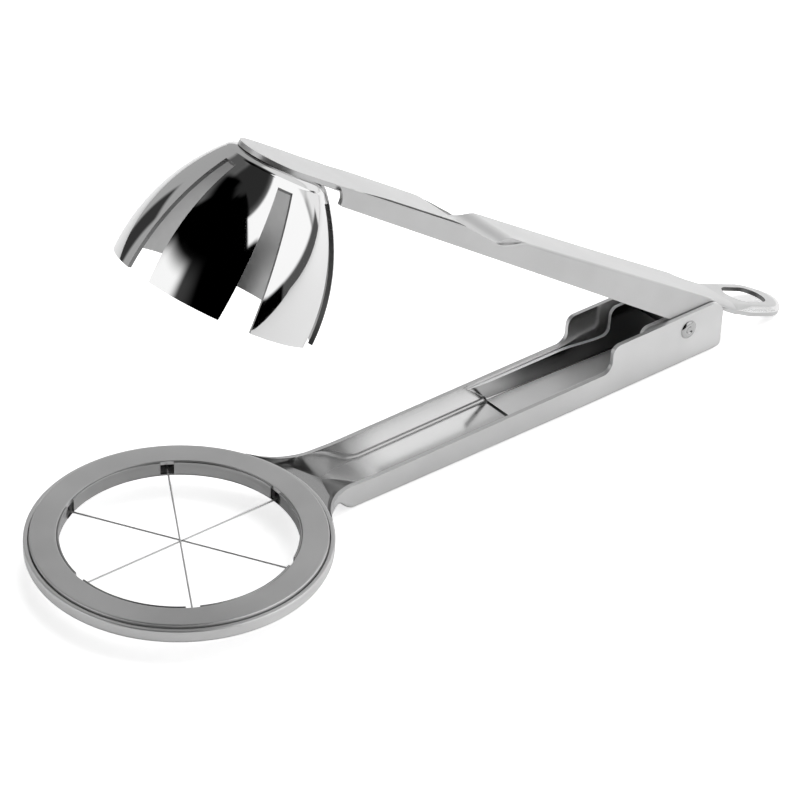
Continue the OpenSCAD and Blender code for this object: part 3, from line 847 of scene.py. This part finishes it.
@dataclass
class UpperArm(OpenArm):
    """The upper pressing: tongue, lanced plate over two flanges, the step, and the hanging loop.

    A pair gives two places along the arm between which a form grows, and at the second one it is full. The
    lobe's rear edge is a list of points (x, z) in the arm's own frame.
    """

    # Plate and step
    tongue_x: float = -140.8
    tongue_half: float = 8.2
    rear_half: float = 6.95
    parallel_x: float = -31.0
    tail_x: float = 15.5
    sheet: float = 1.0
    plate_h: float = 6.5
    bow: float = 0.28
    bow_in: Pair = (-122.0, -112.0)
    dip: float = 1.5
    dip_in: Pair = (-90.0, -77.5)
    riser: Pair = (-77.0, -70.0)
    riser_over: float = 0.3
    step: float = 1.8
    climb: float = 1.5
    climb_x: float = -68.0
    # Slits and the gap at the step
    slit: float = 0.45
    slit_in: Pair = (-123.0, -119.0)
    slit_out: Pair = (-84.0, -92.0)
    window: float = 0.5
    window_in: Pair = (-77.5, -73.0)
    window_out: Pair = (-67.0, -71.5)
    cut_from: float = -125.5
    cut_to: float = -65.5
    # Slits' plate-side cut edges in front of this place take the near-black finish: a painted shadow line.
    slit_shade_to: float = -85.0
    # Flanges and their bends
    bend: float = 0.8
    least_bend: float = 0.25
    bend_share: float = 0.6
    bend_in: Pair = (-80.0, -55.0)
    bend_out: Pair = (5.0, -30.0)
    least_curl: float = 1e-4
    curl_in: Pair = (-131.0, -127.4)
    curl_out: Pair = (12.5, 8.5)
    flange_in: Pair = (-129.6, -127.0)
    flange_dip: float = 1.2
    flange_dip_in: Pair = (-90.0, -75.0)
    flange_riser: Pair = (-75.5, -66.0)
    sag: float = 0.45
    sag_in: Pair = (-79.0, -73.0)
    sag_out: Pair = (-66.0, -71.0)
    notch_x: float = -129.0
    notch_h: float = 2.9
    notch_r: float = 2.6
    notch_end_r: float = 0.4
    edge_h: float = 2.5
    edge_fall: float = 1.8
    edge_l: float = 122.1
    lobe_r: float = 4.3
    lobe_rear: tuple[Pair, ...] = ((5.0, 1.3), (6.0, 3.1), (7.0, 4.9), (7.8, 6.0), (8.2, 6.4), (8.4, 6.7))
    # Tail and loop
    tail_angle: float = 11.0
    tail_level: float = 12.0
    loop_l: float = 20.25
    loop_half: float = 7.2
    loop_flare: Pair = (0.8, 6.0)
    loop_turn: Pair = (0.0, 4.0)
    hole_half: float = 4.0
    hole_from: float = 3.2
    hole_to: float = 15.9
    lip: float = 1.4
    lip_in: Pair = (0.0, 6.0)
    lip_share: float = 0.4
    root_lip: float = 1.0
    root_lip_in: Pair = (3.0, 9.5)
    root_lip_share: float = 0.6
    roll_part: float = 0.98
    table_gap: float = 0.05
    # Rows of faces in a half section, and rays of the loop
    flanges: int = 9
    bends: int = 9
    plates: int = 13
    rays: int = 121
    ray_points: int = 19
    # Row from which the loop's roll takes the lighter rim finish: a painted highlight.
    rim_highlight_from: int = 9

    def rear_z(self, x: np.ndarray) -> np.ndarray:
        """Height of the arm behind the step over its front, which rises slowly to the tail."""
        return self.step + self.climb * np.clip((x - self.climb_x) / (self.tail_x - self.climb_x), 0, 1)

    def plate_z(self, x: np.ndarray) -> np.ndarray:
        """Height of the plate's top: a bow between the slits, a dip, a riser, a slow rise to the tail."""
        bow = self.bow * run(x, *self.bow_in) * run(x, *self.slit_out)
        risen = (self.rear_z(x) + self.riser_over) * run(x, *self.riser)
        return self.plate_h + bow - self.dip * run(x, *self.dip_in) + risen

    def bend_z(self, x: np.ndarray) -> np.ndarray:
        """Height of the flanges' bends: as the plate, but it climbs later than the riser and leaves a gap."""
        sag = self.sag * run(x, *self.sag_in) * run(x, *self.sag_out)
        risen = self.rear_z(x) * run(x, *self.flange_riser)
        return self.plate_h - self.flange_dip * run(x, *self.flange_dip_in) + risen - sag

    def roll(self, share: np.ndarray, start: float) -> np.ndarray:
        """A rolled edge's fall, 0 to 1: nearly a quarter of an ellipse from a share of the width outwards."""
        turned = self.roll_part * np.clip((share - start) / (1 - start), 0, 1) ** 2
        return (1 - np.sqrt(1 - turned)) / (1 - math.sqrt(1 - self.roll_part))

    def half_width(self, x: np.ndarray) -> np.ndarray:
        """Half width over the flanges, with the round tip of the tongue."""
        d = np.clip((self.tongue_x - x) / self.tongue_half, 0, 1)
        taper = np.clip((x - self.tongue_x) / (self.parallel_x - self.tongue_x), 0, 1)
        return np.sqrt(1 - d ** 2) * self.tongue_half + (self.rear_half - self.tongue_half) * taper

    def columns(self) -> tuple[np.ndarray, np.ndarray, np.ndarray]:
        """Lines across the arm from the tongue's tip to the tail, close together at the notch and the step.

        The flange's edge starts in the notch's two arcs, falls slowly to the rear, and goes round the lobe.

        Returns:
            Place x along the plate, how far the bend is curled (0 to 1), and the flange's edge (x, z) with
            NaN where there is no flange.
        """
        tip = self.tongue_x - self.tongue_half * np.cos(np.radians(np.linspace(4, 88, 16)))
        front = lines((self.tongue_x, -131.5, 6), (-131.0, -124.0, 22))
        middle = lines((-123.0, -92.0, 22), (-91.0, -62.0, 64), (-60.5, -6.0, 26))
        lobe = np.linspace(-4.5, 8.4, 22)
        tail = np.linspace(8.9, self.tail_x, 12)
        x = np.concatenate([tip, front, middle, lobe, tail])
        curl = run(x, *self.curl_in) * run(x, *self.curl_out)
        edge_x = self.notch_x + self.notch_r
        notch = spread(np.concatenate([
            arc(self.notch_x, self.notch_h, self.notch_r, 88, 0, 12),
            arc(edge_x + self.notch_end_r, self.notch_h, self.notch_end_r, 180, 250, 5)]), 17)
        lower_x = np.linspace(-125.0, -5.0, middle.size)
        lower = np.stack([lower_x, self.edge_h - self.edge_fall * (lower_x - edge_x) / self.edge_l], 1)
        none = np.full((1, 2), np.nan)
        edge = np.concatenate([
            np.repeat(none, tip.size + front.size - len(notch), 0), notch, lower,
            arc(0, 0, self.lobe_r, 172, 360, lobe.size - len(self.lobe_rear)), self.lobe_rear,
            np.repeat(none, tail.size, 0)])
        return x, curl, edge

    def faces(self) -> tuple[np.ndarray, np.ndarray]:
        """Both faces of the pressing as half sections in the arm's frame.

        A section is the flat plate, a bend that curls from flat to square along the front notch and back at
        the tail, and a straight flange down to its edge. The inner face is the outer one moved in by the
        sheet along the section's own normal.

        Returns:
            Outer and inner points, (columns, rows, 3), from the flange's edge to the middle.
        """
        x, curl, edge = (a[:, None] if a.ndim == 1 else a for a in self.columns())
        half = self.half_width(x)
        zp, zb = self.plate_z(x), self.bend_z(x)
        open_slit = self.slit * run(x, *self.slit_in) * run(x, *self.slit_out)
        open_slit = open_slit + self.window * run(x, *self.window_in) * run(x, *self.window_out)
        wide = (self.bend - self.least_bend) * run(x, *self.bend_in) * run(x, *self.bend_out)
        bend = np.minimum(self.least_bend + wide, half * self.bend_share)
        total = np.maximum(curl, self.least_curl) * np.pi / 2
        length = bend * (1 + (np.pi / 2 - 1) * curl)
        radius = length / total
        phi = total * np.linspace(1, 0, self.bends + 1)[None]
        by = half - bend + radius * np.sin(phi)
        bz = zb - radius * (1 - np.cos(phi))
        end_y, end_z = by[:, :1], bz[:, :1]
        has = ~np.isnan(edge[:, :1])
        blend_in = np.where(has, run(x, *self.flange_in), 0.0)
        low_x = x + (np.where(has, edge[:, :1], x) - x) * blend_in
        low_z = end_z + (np.where(has, edge[:, 1:], end_z) - end_z) * blend_in
        k = np.linspace(1, 0, self.flanges + 1)[None, :-1]
        fx = x + (low_x - x) * k
        fz = end_z + (low_z - end_z) * k
        fy = end_y + (self.half_width(fx) - half) * curl
        m = np.linspace(1, 0, self.plates)[None]
        py = (half - bend - open_slit) * m
        y = np.concatenate([fy, by, py], 1)
        rolled = self.root_lip * run(x, *self.root_lip_in) * self.roll(y / half, self.root_lip_share)
        z = np.concatenate([fz, bz, zp + 0 * m], 1) - rolled
        xs = np.concatenate([fx, np.repeat(x, y.shape[1] - fx.shape[1], 1)], 1)
        outer = np.stack([xs, y, z], -1)
        lean = np.concatenate([total + 0 * k, phi, 0 * m + 0 * x], 1)
        slope_p, slope_b = (np.gradient(height[:, 0], x[:, 0])[:, None] for height in (zp, zb))
        slope = np.concatenate([0 * fx, slope_b * np.cos(phi), slope_p + 0 * m], 1)
        slope = slope * run(x, self.tail_x, self.tail_level)
        normal = np.stack([-slope, np.sin(lean), np.cos(lean)], -1)
        normal /= np.linalg.norm(normal, axis=-1, keepdims=True)
        return outer, outer - normal * self.sheet

    def loop(self, root: np.ndarray) -> tuple[np.ndarray, np.ndarray]:
        """The hanging loop: rays from the hole's middle, from the hole's edge out to the loop's edge.

        The hole and the loop's outline are stadiums. Towards the outline the sheet rolls down in a lip that
        carries on from the tail's edges and fades where the table leaves no room.

        Args:
            root: (rows,) widths across the tail's end that the loop joins.

        Returns:
            Upper and lower points, (rays, rows, 3), in the part's frame.
        """
        mid = (self.hole_from + self.hole_to) / 2
        round_x, steps, close = self.loop_l - self.loop_half, 60, 480
        inner = np.concatenate([arc(self.hole_to - self.hole_half, 0, self.hole_half, -90, 90, steps),
                                arc(self.hole_from + self.hole_half, 0, self.hole_half, 90, 270, steps)])
        inner = spread(np.concatenate([inner, inner[:1]]), close + 1)[:-1]
        tip = arc(round_x, 0, self.loop_half, -90, 90, steps)
        side = np.linspace(0.0, round_x, steps)
        flare = (self.loop_half - self.rear_half) * run(side, *self.loop_flare)
        side = np.stack([side, self.rear_half + flare], 1)
        outer = spread(np.concatenate([side * [1.0, -1.0], tip[1:-1], side[::-1]]), close)
        corner = math.atan2(self.rear_half, -mid)
        free = np.linspace(-corner, corner, self.rays)
        back = np.arctan2(root, -mid)
        back = np.unique(np.where(back < 0, back + 2 * np.pi, back))[1:-1]
        ray = np.concatenate([free, back])

        def reach(line: np.ndarray) -> np.ndarray:
            """Distance from the hole's middle to an outline, for every ray."""
            a, d = np.arctan2(line[:, 1], line[:, 0] - mid), np.hypot(line[:, 0] - mid, line[:, 1])
            order = np.argsort(a)
            return np.interp(ray, a[order], d[order], period=2 * np.pi)

        far = np.where(ray > corner, mid / np.abs(np.cos(ray)), reach(outer))
        near = reach(inner)
        m = np.sin(np.linspace(0, np.pi / 2, self.ray_points))[None]
        d = near[:, None] + (far - near)[:, None] * m
        lx, ly = mid + d * np.cos(ray)[:, None], d * np.sin(ray)[:, None]
        tilt = math.radians(self.tail_angle)
        top = float(self.plate_z(np.array(self.tail_x)))

        def world(sink: np.ndarray) -> np.ndarray:
            """Loop points sunk below the tail's plane, in the part's frame."""
            turned = run(lx, *self.loop_turn)
            x = self.tail_x + lx * math.cos(tilt) + sink * math.sin(tilt) * turned
            upright = 1 + (math.cos(tilt) - 1) * turned
            return self.place(np.stack([x, ly, top + lx * math.sin(tilt) - sink * upright], -1))

        room = np.clip(world(0 * lx)[:, -1:, 2] - self.sheet - self.table_gap, 0, None)
        deep = self.root_lip + (self.lip - self.root_lip) * run(lx[:, -1:], *self.lip_in)
        at_root = self.roll(np.abs(ly[:, -1:]) / self.rear_half, self.root_lip_share)
        deep = deep * np.where((ray > corner)[:, None], at_root, 1 - np.exp(-room / deep))
        drop = deep * self.roll(m, self.lip_share)
        return world(drop), world(drop + self.sheet)

    def build(self, mat: bpy.types.Material, shade_paint: bpy.types.Material, rim: bpy.types.Material) -> None:
        """Joins flanges, plate and loop into one sheet with open slits, and dresses it.

        Args:
            mat: finish of the sheet.
            shade_paint: near-black finish of the hole's wall and of the slits' plate-side cut edges towards
                the front, painted shade.
            rim: finish of the loop's rolled edge: glossier steel, with a lighter grey that paints a highlight
                along the roll.
        """
        outer, inner = self.faces()
        x = self.columns()[0]
        cut = self.flanges + self.bends + 1
        slit = slice(*np.searchsorted(x, [self.cut_from, self.cut_to]))
        # Slit edges towards the front are painted near black as a shadow line.
        slit_shade = (x[slit][:-1, None] < self.slit_shade_to).astype(int)
        skin = Skin()
        for mirrored in ([1.0, 1.0, 1.0], [1.0, -1.0, 1.0]):
            o, i = self.place(outer * mirrored), self.place(inner * mirrored)
            for part in (o[:, :cut], i[:, :cut], o[:, cut:], i[:, cut:]):
                skin.grid(part)
            skin.wall(o[:, 0], i[:, 0])
            skin.wall(o[0], i[0])
            skin.wall(o[slit, cut - 1], i[slit, cut - 1])
            skin.wall(o[slit, cut], i[slit, cut], finish=slit_shade)
        ends = outer[-1, :, 1]
        up, down = self.loop(np.unique(np.round(np.concatenate([ends, -ends]), 6)))
        # The roll's outer rows take the lighter, glossier rim finish: a painted highlight, starting gradually
        # from the root.
        strips, steps = np.arange(up.shape[0])[:, None], np.arange(up.shape[1] - 1)[None]
        from_root = np.minimum(strips, self.rays - 2 - strips)
        rolled = 2 * ((from_root >= 0) & (steps >= np.maximum(self.rim_highlight_from, steps.max() - from_root)))
        skin.grid(up, round_u=True, finish=rolled)
        skin.grid(down, round_u=True)
        # The hole's wall is near black: painted shade inside the loop.
        skin.wall(up[:, 0], down[:, 0], closed=True, finish=1)
        skin.wall(up[:self.rays, -1], down[:self.rays, -1])
        obj = skin.piece("upper_arm_pressing", edge=0.12)
        dress(obj, [mat, shade_paint, rim], Slot.ARM, Body.UPPER, "upper_arm")


@dataclass
class Cup(OpenArm):
    """The polished cup: a crown and six petals between tapered slots."""

    axis_x: float = LowerArm.ring_x
    top: float = 5.5
    rim: float = -24.5
    rim_r: float = 22.2
    arc_r: float = 42.985
    crown_r: float = 10.0
    crown_flat: float = 0.6
    shoulder: float = 4.0
    sheet: float = 1.0
    petals: int = 6
    slot_top: float = 2.7
    slot_half: float = 3.5
    slot_end_half: float = 1.6
    across: int = 25
    slot_across: int = 5

    def profile(self) -> np.ndarray:
        """Section (r, z) of the outside from the crown's middle to the rim, with a soft shoulder."""
        above, below = np.linspace(self.top, self.slot_top, 12)[:-1], np.linspace(self.slot_top, self.rim, 46)
        z = np.concatenate([above, below])
        r = self.rim_r - self.arc_r + np.sqrt(self.arc_r ** 2 - (z - self.rim) ** 2)
        lean = math.atan2(self.top - self.rim, self.crown_r - self.rim_r + self.arc_r)
        cut = self.shoulder * math.tan((math.pi / 2 - lean) / 2)
        keep = z < self.top - cut * math.cos(lean)
        return np.concatenate([
            level(0.0, self.crown_r - cut - self.crown_flat, self.top, 8),
            arc(self.crown_r - cut, self.top - self.shoulder, self.shoulder, 90, math.degrees(lean), 9),
            np.stack([r[keep], z[keep]], 1)])

    def lay(self, line: np.ndarray, a: np.ndarray) -> np.ndarray:
        """Points (r, z) of a section at angles about the cup's axis, in the part's frame."""
        r, z = line[..., 0], line[..., 1]
        return self.place(np.stack([self.axis_x + r * np.cos(a), r * np.sin(a), z + 0 * a], -1))

    def build(self, mirror: bpy.types.Material, inside: bpy.types.Material, cut: bpy.types.Material) -> None:
        """Sweeps the crown and the six petals inside and out, closes the cut edges, and dresses it.

        Args:
            mirror: finish of the outside.
            inside: finish of the inside.
            cut: finish of the cut edges, near black as painted shade in the slots.
        """
        p = self.profile()
        tangent = np.gradient(p, axis=0)
        normal = np.stack([-tangent[:, 1], tangent[:, 0]], 1)
        normal /= np.linalg.norm(normal, axis=1, keepdims=True)
        normal[0] = [0.0, 1.0]
        normal = np.where(normal[:, :1] < 0, -normal, normal)
        q = p - normal * self.sheet
        q[:, 0] = np.maximum(q[:, 0], 0.0)
        q[-1] = [self.rim_r - self.sheet, self.rim]
        split = int(np.argmin(np.abs(p[:, 1] - self.slot_top)))
        above = np.arange(len(p)) < split
        half = np.interp(p[:, 1], [self.rim, self.slot_top], [self.slot_half, self.slot_end_half])
        half = np.where(above, self.slot_end_half, half)
        gaps = [np.arcsin(np.clip(half / np.maximum(line[:, 0], half), 0, 1)) for line in (p, q)]
        pitch = math.pi / self.petals
        middles = [pitch * (2 * k + 1) for k in range(self.petals)]
        share, slot_share = np.linspace(-1, 1, self.across), np.linspace(-1, 1, self.slot_across)
        skin = Skin()
        for face, (line, gap) in enumerate(zip((p, q), gaps)):
            gap = np.where(above, gap[split], gap)[:, None]
            for mid in middles:
                petal = mid + share * (pitch - gap)
                slot = mid + pitch + slot_share * gap
                crown = np.concatenate([petal, slot[:, 1:]], 1)[:split + 1]
                skin.grid(self.lay(line[split:, None], petal[split:]), finish=face)
                skin.grid(self.lay(line[:split + 1, None], crown), finish=face)

        def close(part: slice, angles: list[np.ndarray]) -> None:
            """Adds the cut edge along a part of the section, at the angles of both faces."""
            # Cut edges are near black: painted shade in the slots.
            skin.wall(*(self.lay(line[part], a) for line, a in zip((p, q), angles)), finish=2)

        for mid in middles:
            for sign in (-1.0, 1.0):
                close(slice(split, None), [mid + sign * (pitch - gap[split:]) for gap in gaps])
            close(slice(-1, None), [mid + share * (pitch - gap[-1]) for gap in gaps])
            close(slice(split, split + 1), [mid + pitch + slot_share * gap[split] for gap in gaps])
        obj = skin.piece("cup_petals", edge=0.14)
        dress(obj, [mirror, inside, cut], Slot.CUP, Body.UPPER, "cup")


@dataclass(frozen=True)
class Card:
    """A soft light or dark area of the studio, seen in the steel.

    It spans an angle around the vertical and a range of heights above the horizon, all in degrees, with soft
    edges.
    """

    grey: float
    toward: float = 0.0
    half: float = 180.0
    low: float = -90.0
    high: float = 90.0
    soft: float = 4.0


@dataclass
class Studio:
    """White table, soft lamp, and the studio's surroundings that the steel mirrors.

    The table is given in metres along and across the camera's heading, and its glow by what the camera and
    what the steel see of it.
    """

    around: float = 0.42
    cards: tuple[Card, ...] = (
        Card(0.95, 12.0, 30.0, -40.0, 15.0, 6.0),
        Card(0.028, low=72.0, soft=14.0),
        Card(0.8, -4.0, 28.0, 22.0, 54.0, 8.0),
        Card(0.11, 102.0, 28.0, 44.0, 64.0, 9.0),
        Card(0.0, 190.0, 60.0, 38.0, 78.0, 8.0),
        Card(0.0, 178.0, 80.0, 65.0, 78.0, 10.0),
        Card(0.0, -140.0, 36.0, -40.0, 82.0, 10.0),
        Card(0.1, -52.0, 36.0, -30.0, 1.5, 3.0),
        Card(0.0, -82.0, 16.0, -30.0, 4.0, 3.0),
        Card(0.04, 99.0, 6.0, -6.0, 17.0, 5.0),
        Card(0.05, 182.0, 8.0, 4.0, 28.0, 20.0),
        Card(1.15, 166.0, 11.0, 10.0, 30.0, 14.0),
        Card(1.15, -63.0, 36.0, 5.0, 63.0, 3.0),
        Card(0.0, -100.0, 10.0, -30.0, 43.0, 4.0),
    )
    ahead: tuple[float, float, float] = (0.6545, 0.756, 0.0)
    aside: tuple[float, float, float] = (0.756, -0.6545, 0.0)
    table_ahead: Pair = (-0.36, 1.3)
    table_aside: Pair = (-0.7, 0.85)
    table_z: float = -0.0002
    table_steps: int = 9
    table_grey: float = 0.9
    table_rough: float = 0.9
    table_seen: float = 0.66
    table_mirrored: float = 0.05
    lamp_place: tuple[float, float, float] = (0.35, 0.1, 0.85)
    lamp_size: float = 0.9
    lamp_power: float = 7.0

    def world(self) -> None:
        """Builds the surroundings by direction, as cards laid one over another; the camera sees white."""
        world = bpy.data.worlds.new("studio")
        bpy.context.scene.world = world
        world.use_nodes = True
        tree = world.node_tree
        way = put(tree, "TexCoord").outputs["Generated"]
        height = put(tree, "SeparateXYZ", joins={"Vector": way}).outputs["Z"]
        plan = put(tree, "VectorMath", {1: (1.0, 1.0, 0.0)}, {0: way}, operation="MULTIPLY").outputs["Vector"]
        flat = put(tree, "VectorMath", joins={0: plan}, operation="NORMALIZE").outputs["Vector"]

        def edge(value: bpy.types.NodeSocket, start: float, end: float) -> bpy.types.NodeSocket:
            """Soft edge of a card: 0 at start and 1 at end of a value."""
            node = put(tree, "MapRange", {"From Min": start, "From Max": end}, {"Value": value},
                       interpolation_type="SMOOTHSTEP")
            return node.outputs["Result"]

        below = None
        for card in self.cards:
            rise = [math.sin(math.radians(max(min(v, 90.0), -90.0)))
                    for v in (card.low - card.soft, card.low, card.high + card.soft, card.high)]
            parts = [edge(height, rise[0], rise[1])] if card.low > -90 else []
            parts += [edge(height, rise[2], rise[3])] if card.high < 90 else []
            if card.half < 180:
                turn = math.radians(card.toward)
                toward = (math.cos(turn), math.sin(turn), 0.0)
                near = put(tree, "VectorMath", {1: toward}, {0: flat}, operation="DOT_PRODUCT")
                reach = [math.cos(math.radians(v)) for v in (card.half + card.soft, card.half)]
                parts.append(edge(near.outputs["Value"], *reach))
            share = parts[0]
            for part in parts[1:]:
                share = put(tree, "Math", joins={0: share, 1: part}, operation="MULTIPLY").outputs["Value"]
            below = self.over(tree, below, card.grey, share)
        below = self.over(tree, below, 1.0, put(tree, "LightPath").outputs["Is Camera Ray"])
        tree.links.new(below, tree.nodes["Background"].inputs["Color"])

    def over(self, tree: bpy.types.NodeTree, below: bpy.types.NodeSocket | None, grey: float,
             share: bpy.types.NodeSocket) -> bpy.types.NodeSocket:
        """Lays a grey over what is below, by a share.

        Args:
            tree: the node tree.
            below: colour below, or None for the plain surroundings.
            grey: grey laid over it.
            share: socket from 0 to 1.

        Returns:
            The colour socket of the result.
        """
        colours = {"Color1": (self.around, self.around, self.around, 1.0), "Color2": (grey, grey, grey, 1.0)}
        joins = {"Fac": share} if below is None else {"Fac": share, "Color1": below}
        return put(tree, "MixRGB", colours, joins).outputs["Color"]

    def table(self) -> None:
        """Makes the white table, squared to the camera, which keeps a soft shadow and ends in front of it."""
        u = np.linspace(*self.table_aside, self.table_steps)[:, None, None]
        v = np.linspace(*self.table_ahead, self.table_steps)[None, :, None]
        skin = Skin()
        skin.grid((np.array(self.aside) * u + np.array(self.ahead) * v + [0.0, 0.0, self.table_z]) / MM)
        obj = skin.piece("table", edge=0.0)
        mat = bpy.data.materials.new("white_table")
        mat.use_nodes = True
        tree = mat.node_tree
        shader = tree.nodes["Principled BSDF"]
        shader.inputs["Base Color"].default_value = (self.table_grey, self.table_grey, self.table_grey, 1.0)
        shader.inputs["Roughness"].default_value = self.table_rough
        shader.inputs["Specular IOR Level"].default_value = 0.0
        sees = put(tree, "LightPath").outputs
        glossy, camera = sees["Is Glossy Ray"], sees["Is Camera Ray"]
        mirrored = put(tree, "Math", {1: self.table_mirrored}, {0: glossy}, operation="MULTIPLY")
        seen = put(tree, "Math", {1: self.table_seen}, {0: camera, 2: mirrored.outputs["Value"]},
                   operation="MULTIPLY_ADD")
        glow = put(tree, "Emission", joins={"Strength": seen.outputs["Value"]})
        both = put(tree, "AddShader", joins={0: shader.outputs["BSDF"], 1: glow.outputs["Emission"]})
        tree.links.new(both.outputs["Shader"], tree.nodes["Material Output"].inputs["Surface"])
        obj.data.materials.append(mat)

    def lamp(self) -> None:
        """Hangs one wide soft lamp behind and to the right, for the shadow on the table."""
        data = bpy.data.lights.new("soft_lamp", "AREA")
        data.shape = "DISK"
        data.size = self.lamp_size
        data.energy = self.lamp_power
        obj = bpy.data.objects.new("soft_lamp", data)
        bpy.context.collection.objects.link(obj)
        obj.location = self.lamp_place
        obj.rotation_euler = obj.location.to_track_quat("Z", "Y").to_euler()
        obj.visible_glossy = False

    def build(self) -> None:
        """Sets up surroundings, table, lamp and colour view."""
        self.world()
        self.table()
        self.lamp()
        bpy.context.scene.view_settings.view_transform = "Standard"


@dataclass
class PhotoCamera:
    """The camera at the photograph's place, in metres, with its lens in millimetres."""

    place: tuple[float, float, float] = (-0.44909, -0.42598, 0.40118)
    right: tuple[float, float, float] = (0.7719, -0.6346, 0.0376)
    up: tuple[float, float, float] = (0.3336, 0.4547, 0.8258)
    lens: float = 140.76
    sensor: float = 36.0
    nearest: float = 0.01

    def build(self) -> None:
        """Creates the camera and makes it the scene's own."""
        right, up = np.array(self.right), np.array(self.up)
        right /= np.linalg.norm(right)
        up -= right * (up @ right)
        up /= np.linalg.norm(up)
        data = bpy.data.cameras.new("photo_camera")
        data.lens = self.lens
        data.sensor_width = self.sensor
        data.clip_start = self.nearest
        obj = bpy.data.objects.new("photo_camera", data)
        bpy.context.collection.objects.link(obj)
        turn = Matrix(np.stack([right, up, np.cross(right, up)], 1).tolist()).to_4x4()
        obj.matrix_world = Matrix.Translation(self.place) @ turn
        bpy.context.scene.camera = obj


@dataclass
class KeptNodes:
    """CAD nodes whose shape is right, which only get better finishes."""

    wires: tuple[str, ...] = ("wire_1", "wire_2", "wire_3")
    inside: tuple[str, ...] = ("wire_carrier", "ferrule_1", "ferrule_2", "ferrule_3", "ferrule_4",
                               "ferrule_5", "ferrule_6", "pivot_sleeve")

    def dress(self, wire: bpy.types.Material, inner: bpy.types.Material) -> None:
        """Assigns the drawn wire finish, and to the inner parts a near-black finish that paints the shade
        they sit in.
        """
        for names, mat in ((self.wires, wire), (self.inside, inner)):
            for name in names:
                data = frame["nodes"][name].data
                data.materials.clear()
                data.materials.append(mat)
                LOG.info("%s keeps its CAD shape", name)


def steel(name: str, **settings: float | tuple) -> bpy.types.Material:
    """Builds the material of a named finish from its settings."""
    return SteelFinish(name, **settings).material()


def main() -> None:
    """Builds the studio, the camera and every piece."""
    logging.basicConfig(level=logging.INFO, format="%(message)s")
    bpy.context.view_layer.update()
    PhotoCamera().build()
    Studio().build()
    arm = {"rough": 0.3, "rough_spread": 0.04, "bump": 0.02, "metal": 0.7}
    satin = steel("satin_arm_steel", grey=0.73, **arm)
    # The upper arm's copy of the arm steel, greyer than the lower arm's to make up for the light it gets:
    # painted shade; the grain turns with the arm.
    satin_up_shaded = steel("shaded_copy_upper_arm_steel", grey=0.61, tilt=-OpenArm.angle, **arm)
    flat = steel("ground_cover_steel", grey=0.63, patch=0.04, rough=0.32, rough_spread=0.06, metal=0.7,
                 grain=even(1800.0))
    liner = steel("blasted_bracket_steel", grey=0.93, rough=0.4, rough_spread=0.06, metal=0.25)
    # Dark inside walls of the bracket, darker still behind the front: painted shade and reflection.
    liner_side_shade = steel("shade_painted_bracket_side_steel", grey=0.6, rough=0.12, rough_spread=0.04,
                       tone=((-50.0, 1.0), (-36.0, 0.25), (10.0, 0.25)))
    rivet = steel("bright_rivet_steel", grey=0.5, rough=0.18, grain=even(900.0))
    mirror = steel("mirror_cup_steel", grey=0.81, patch=0.01, rough=0.045, rough_spread=0.02, bump=0.01,
                   wave=0.02, grain=even(600.0), tilt=-OpenArm.angle)
    wire = steel("drawn_wire_steel", grey=0.72, rough=0.3, grain=(300.0, 300.0, 3000.0))
    # Near-black grey on the inner parts: painted shade inside the tray and the hinge.
    inner_shade = steel("shade_painted_inner_steel", grey=0.2, rough=0.4, grain=even(700.0))
    # Polished inside of the channel, with painted shade that darkens it along the neck.
    bright = steel("polished_channel_steel_neck_shade", grey=0.82, patch=0.02, rough=0.22, rough_spread=0.06,
                   tone=((-110.0, 0.85), (-103.6, 0.8), (-101.5, 0.4), (-93.0, 0.6), (-78.0, 1.0)))
    # Painted shade in the channel's creases: a darker grey, darker still along the neck.
    corner = steel("crease_shade_painted_steel", grey=0.58, patch=0.03, rough=0.3, rough_spread=0.06,
                   tone=((-110.0, 0.5), (-103.2, 0.55), (-101.0, 0.6), (-92.0, 0.75), (-78.0, 1.0)))
    # Darker grey in the ring's bore: painted shade inside the ring.
    shade_paint = steel("shade_painted_bore_steel", grey=0.46, patch=0.06, rough=0.34, grain=(900.0, 900.0, 300.0))
    # Lighter grey on the loop's roll paints its highlight; the low roughness is the roll's own gloss.
    rim = steel("rolled_rim_highlight_steel", grey=0.85, rough=0.17, rough_spread=0.02, bump=0.005)
    # Near-black grey on cut edges: painted shade in slits, slots, the loop's hole and under the bracket's
    # front edge.
    cut = steel("shade_painted_cut_steel", grey=0.22, rough=0.3, grain=even(900.0))
    inside = steel("plain_cup_inside_steel", grey=0.5, rough=0.36, grain=even(700.0))
    LowerArm().build(satin, bright, corner, shade_paint)
    RingCover().build(flat)
    HingeBracket().build(liner, liner_side_shade, cut)
    PivotRivet().build(rivet)
    UpperArm().build(satin_up_shaded, cut, rim)
    Cup().build(mirror, inside, cut)
    KeptNodes().dress(wire, inner_shade)


if __name__ == "__main__":
    main()
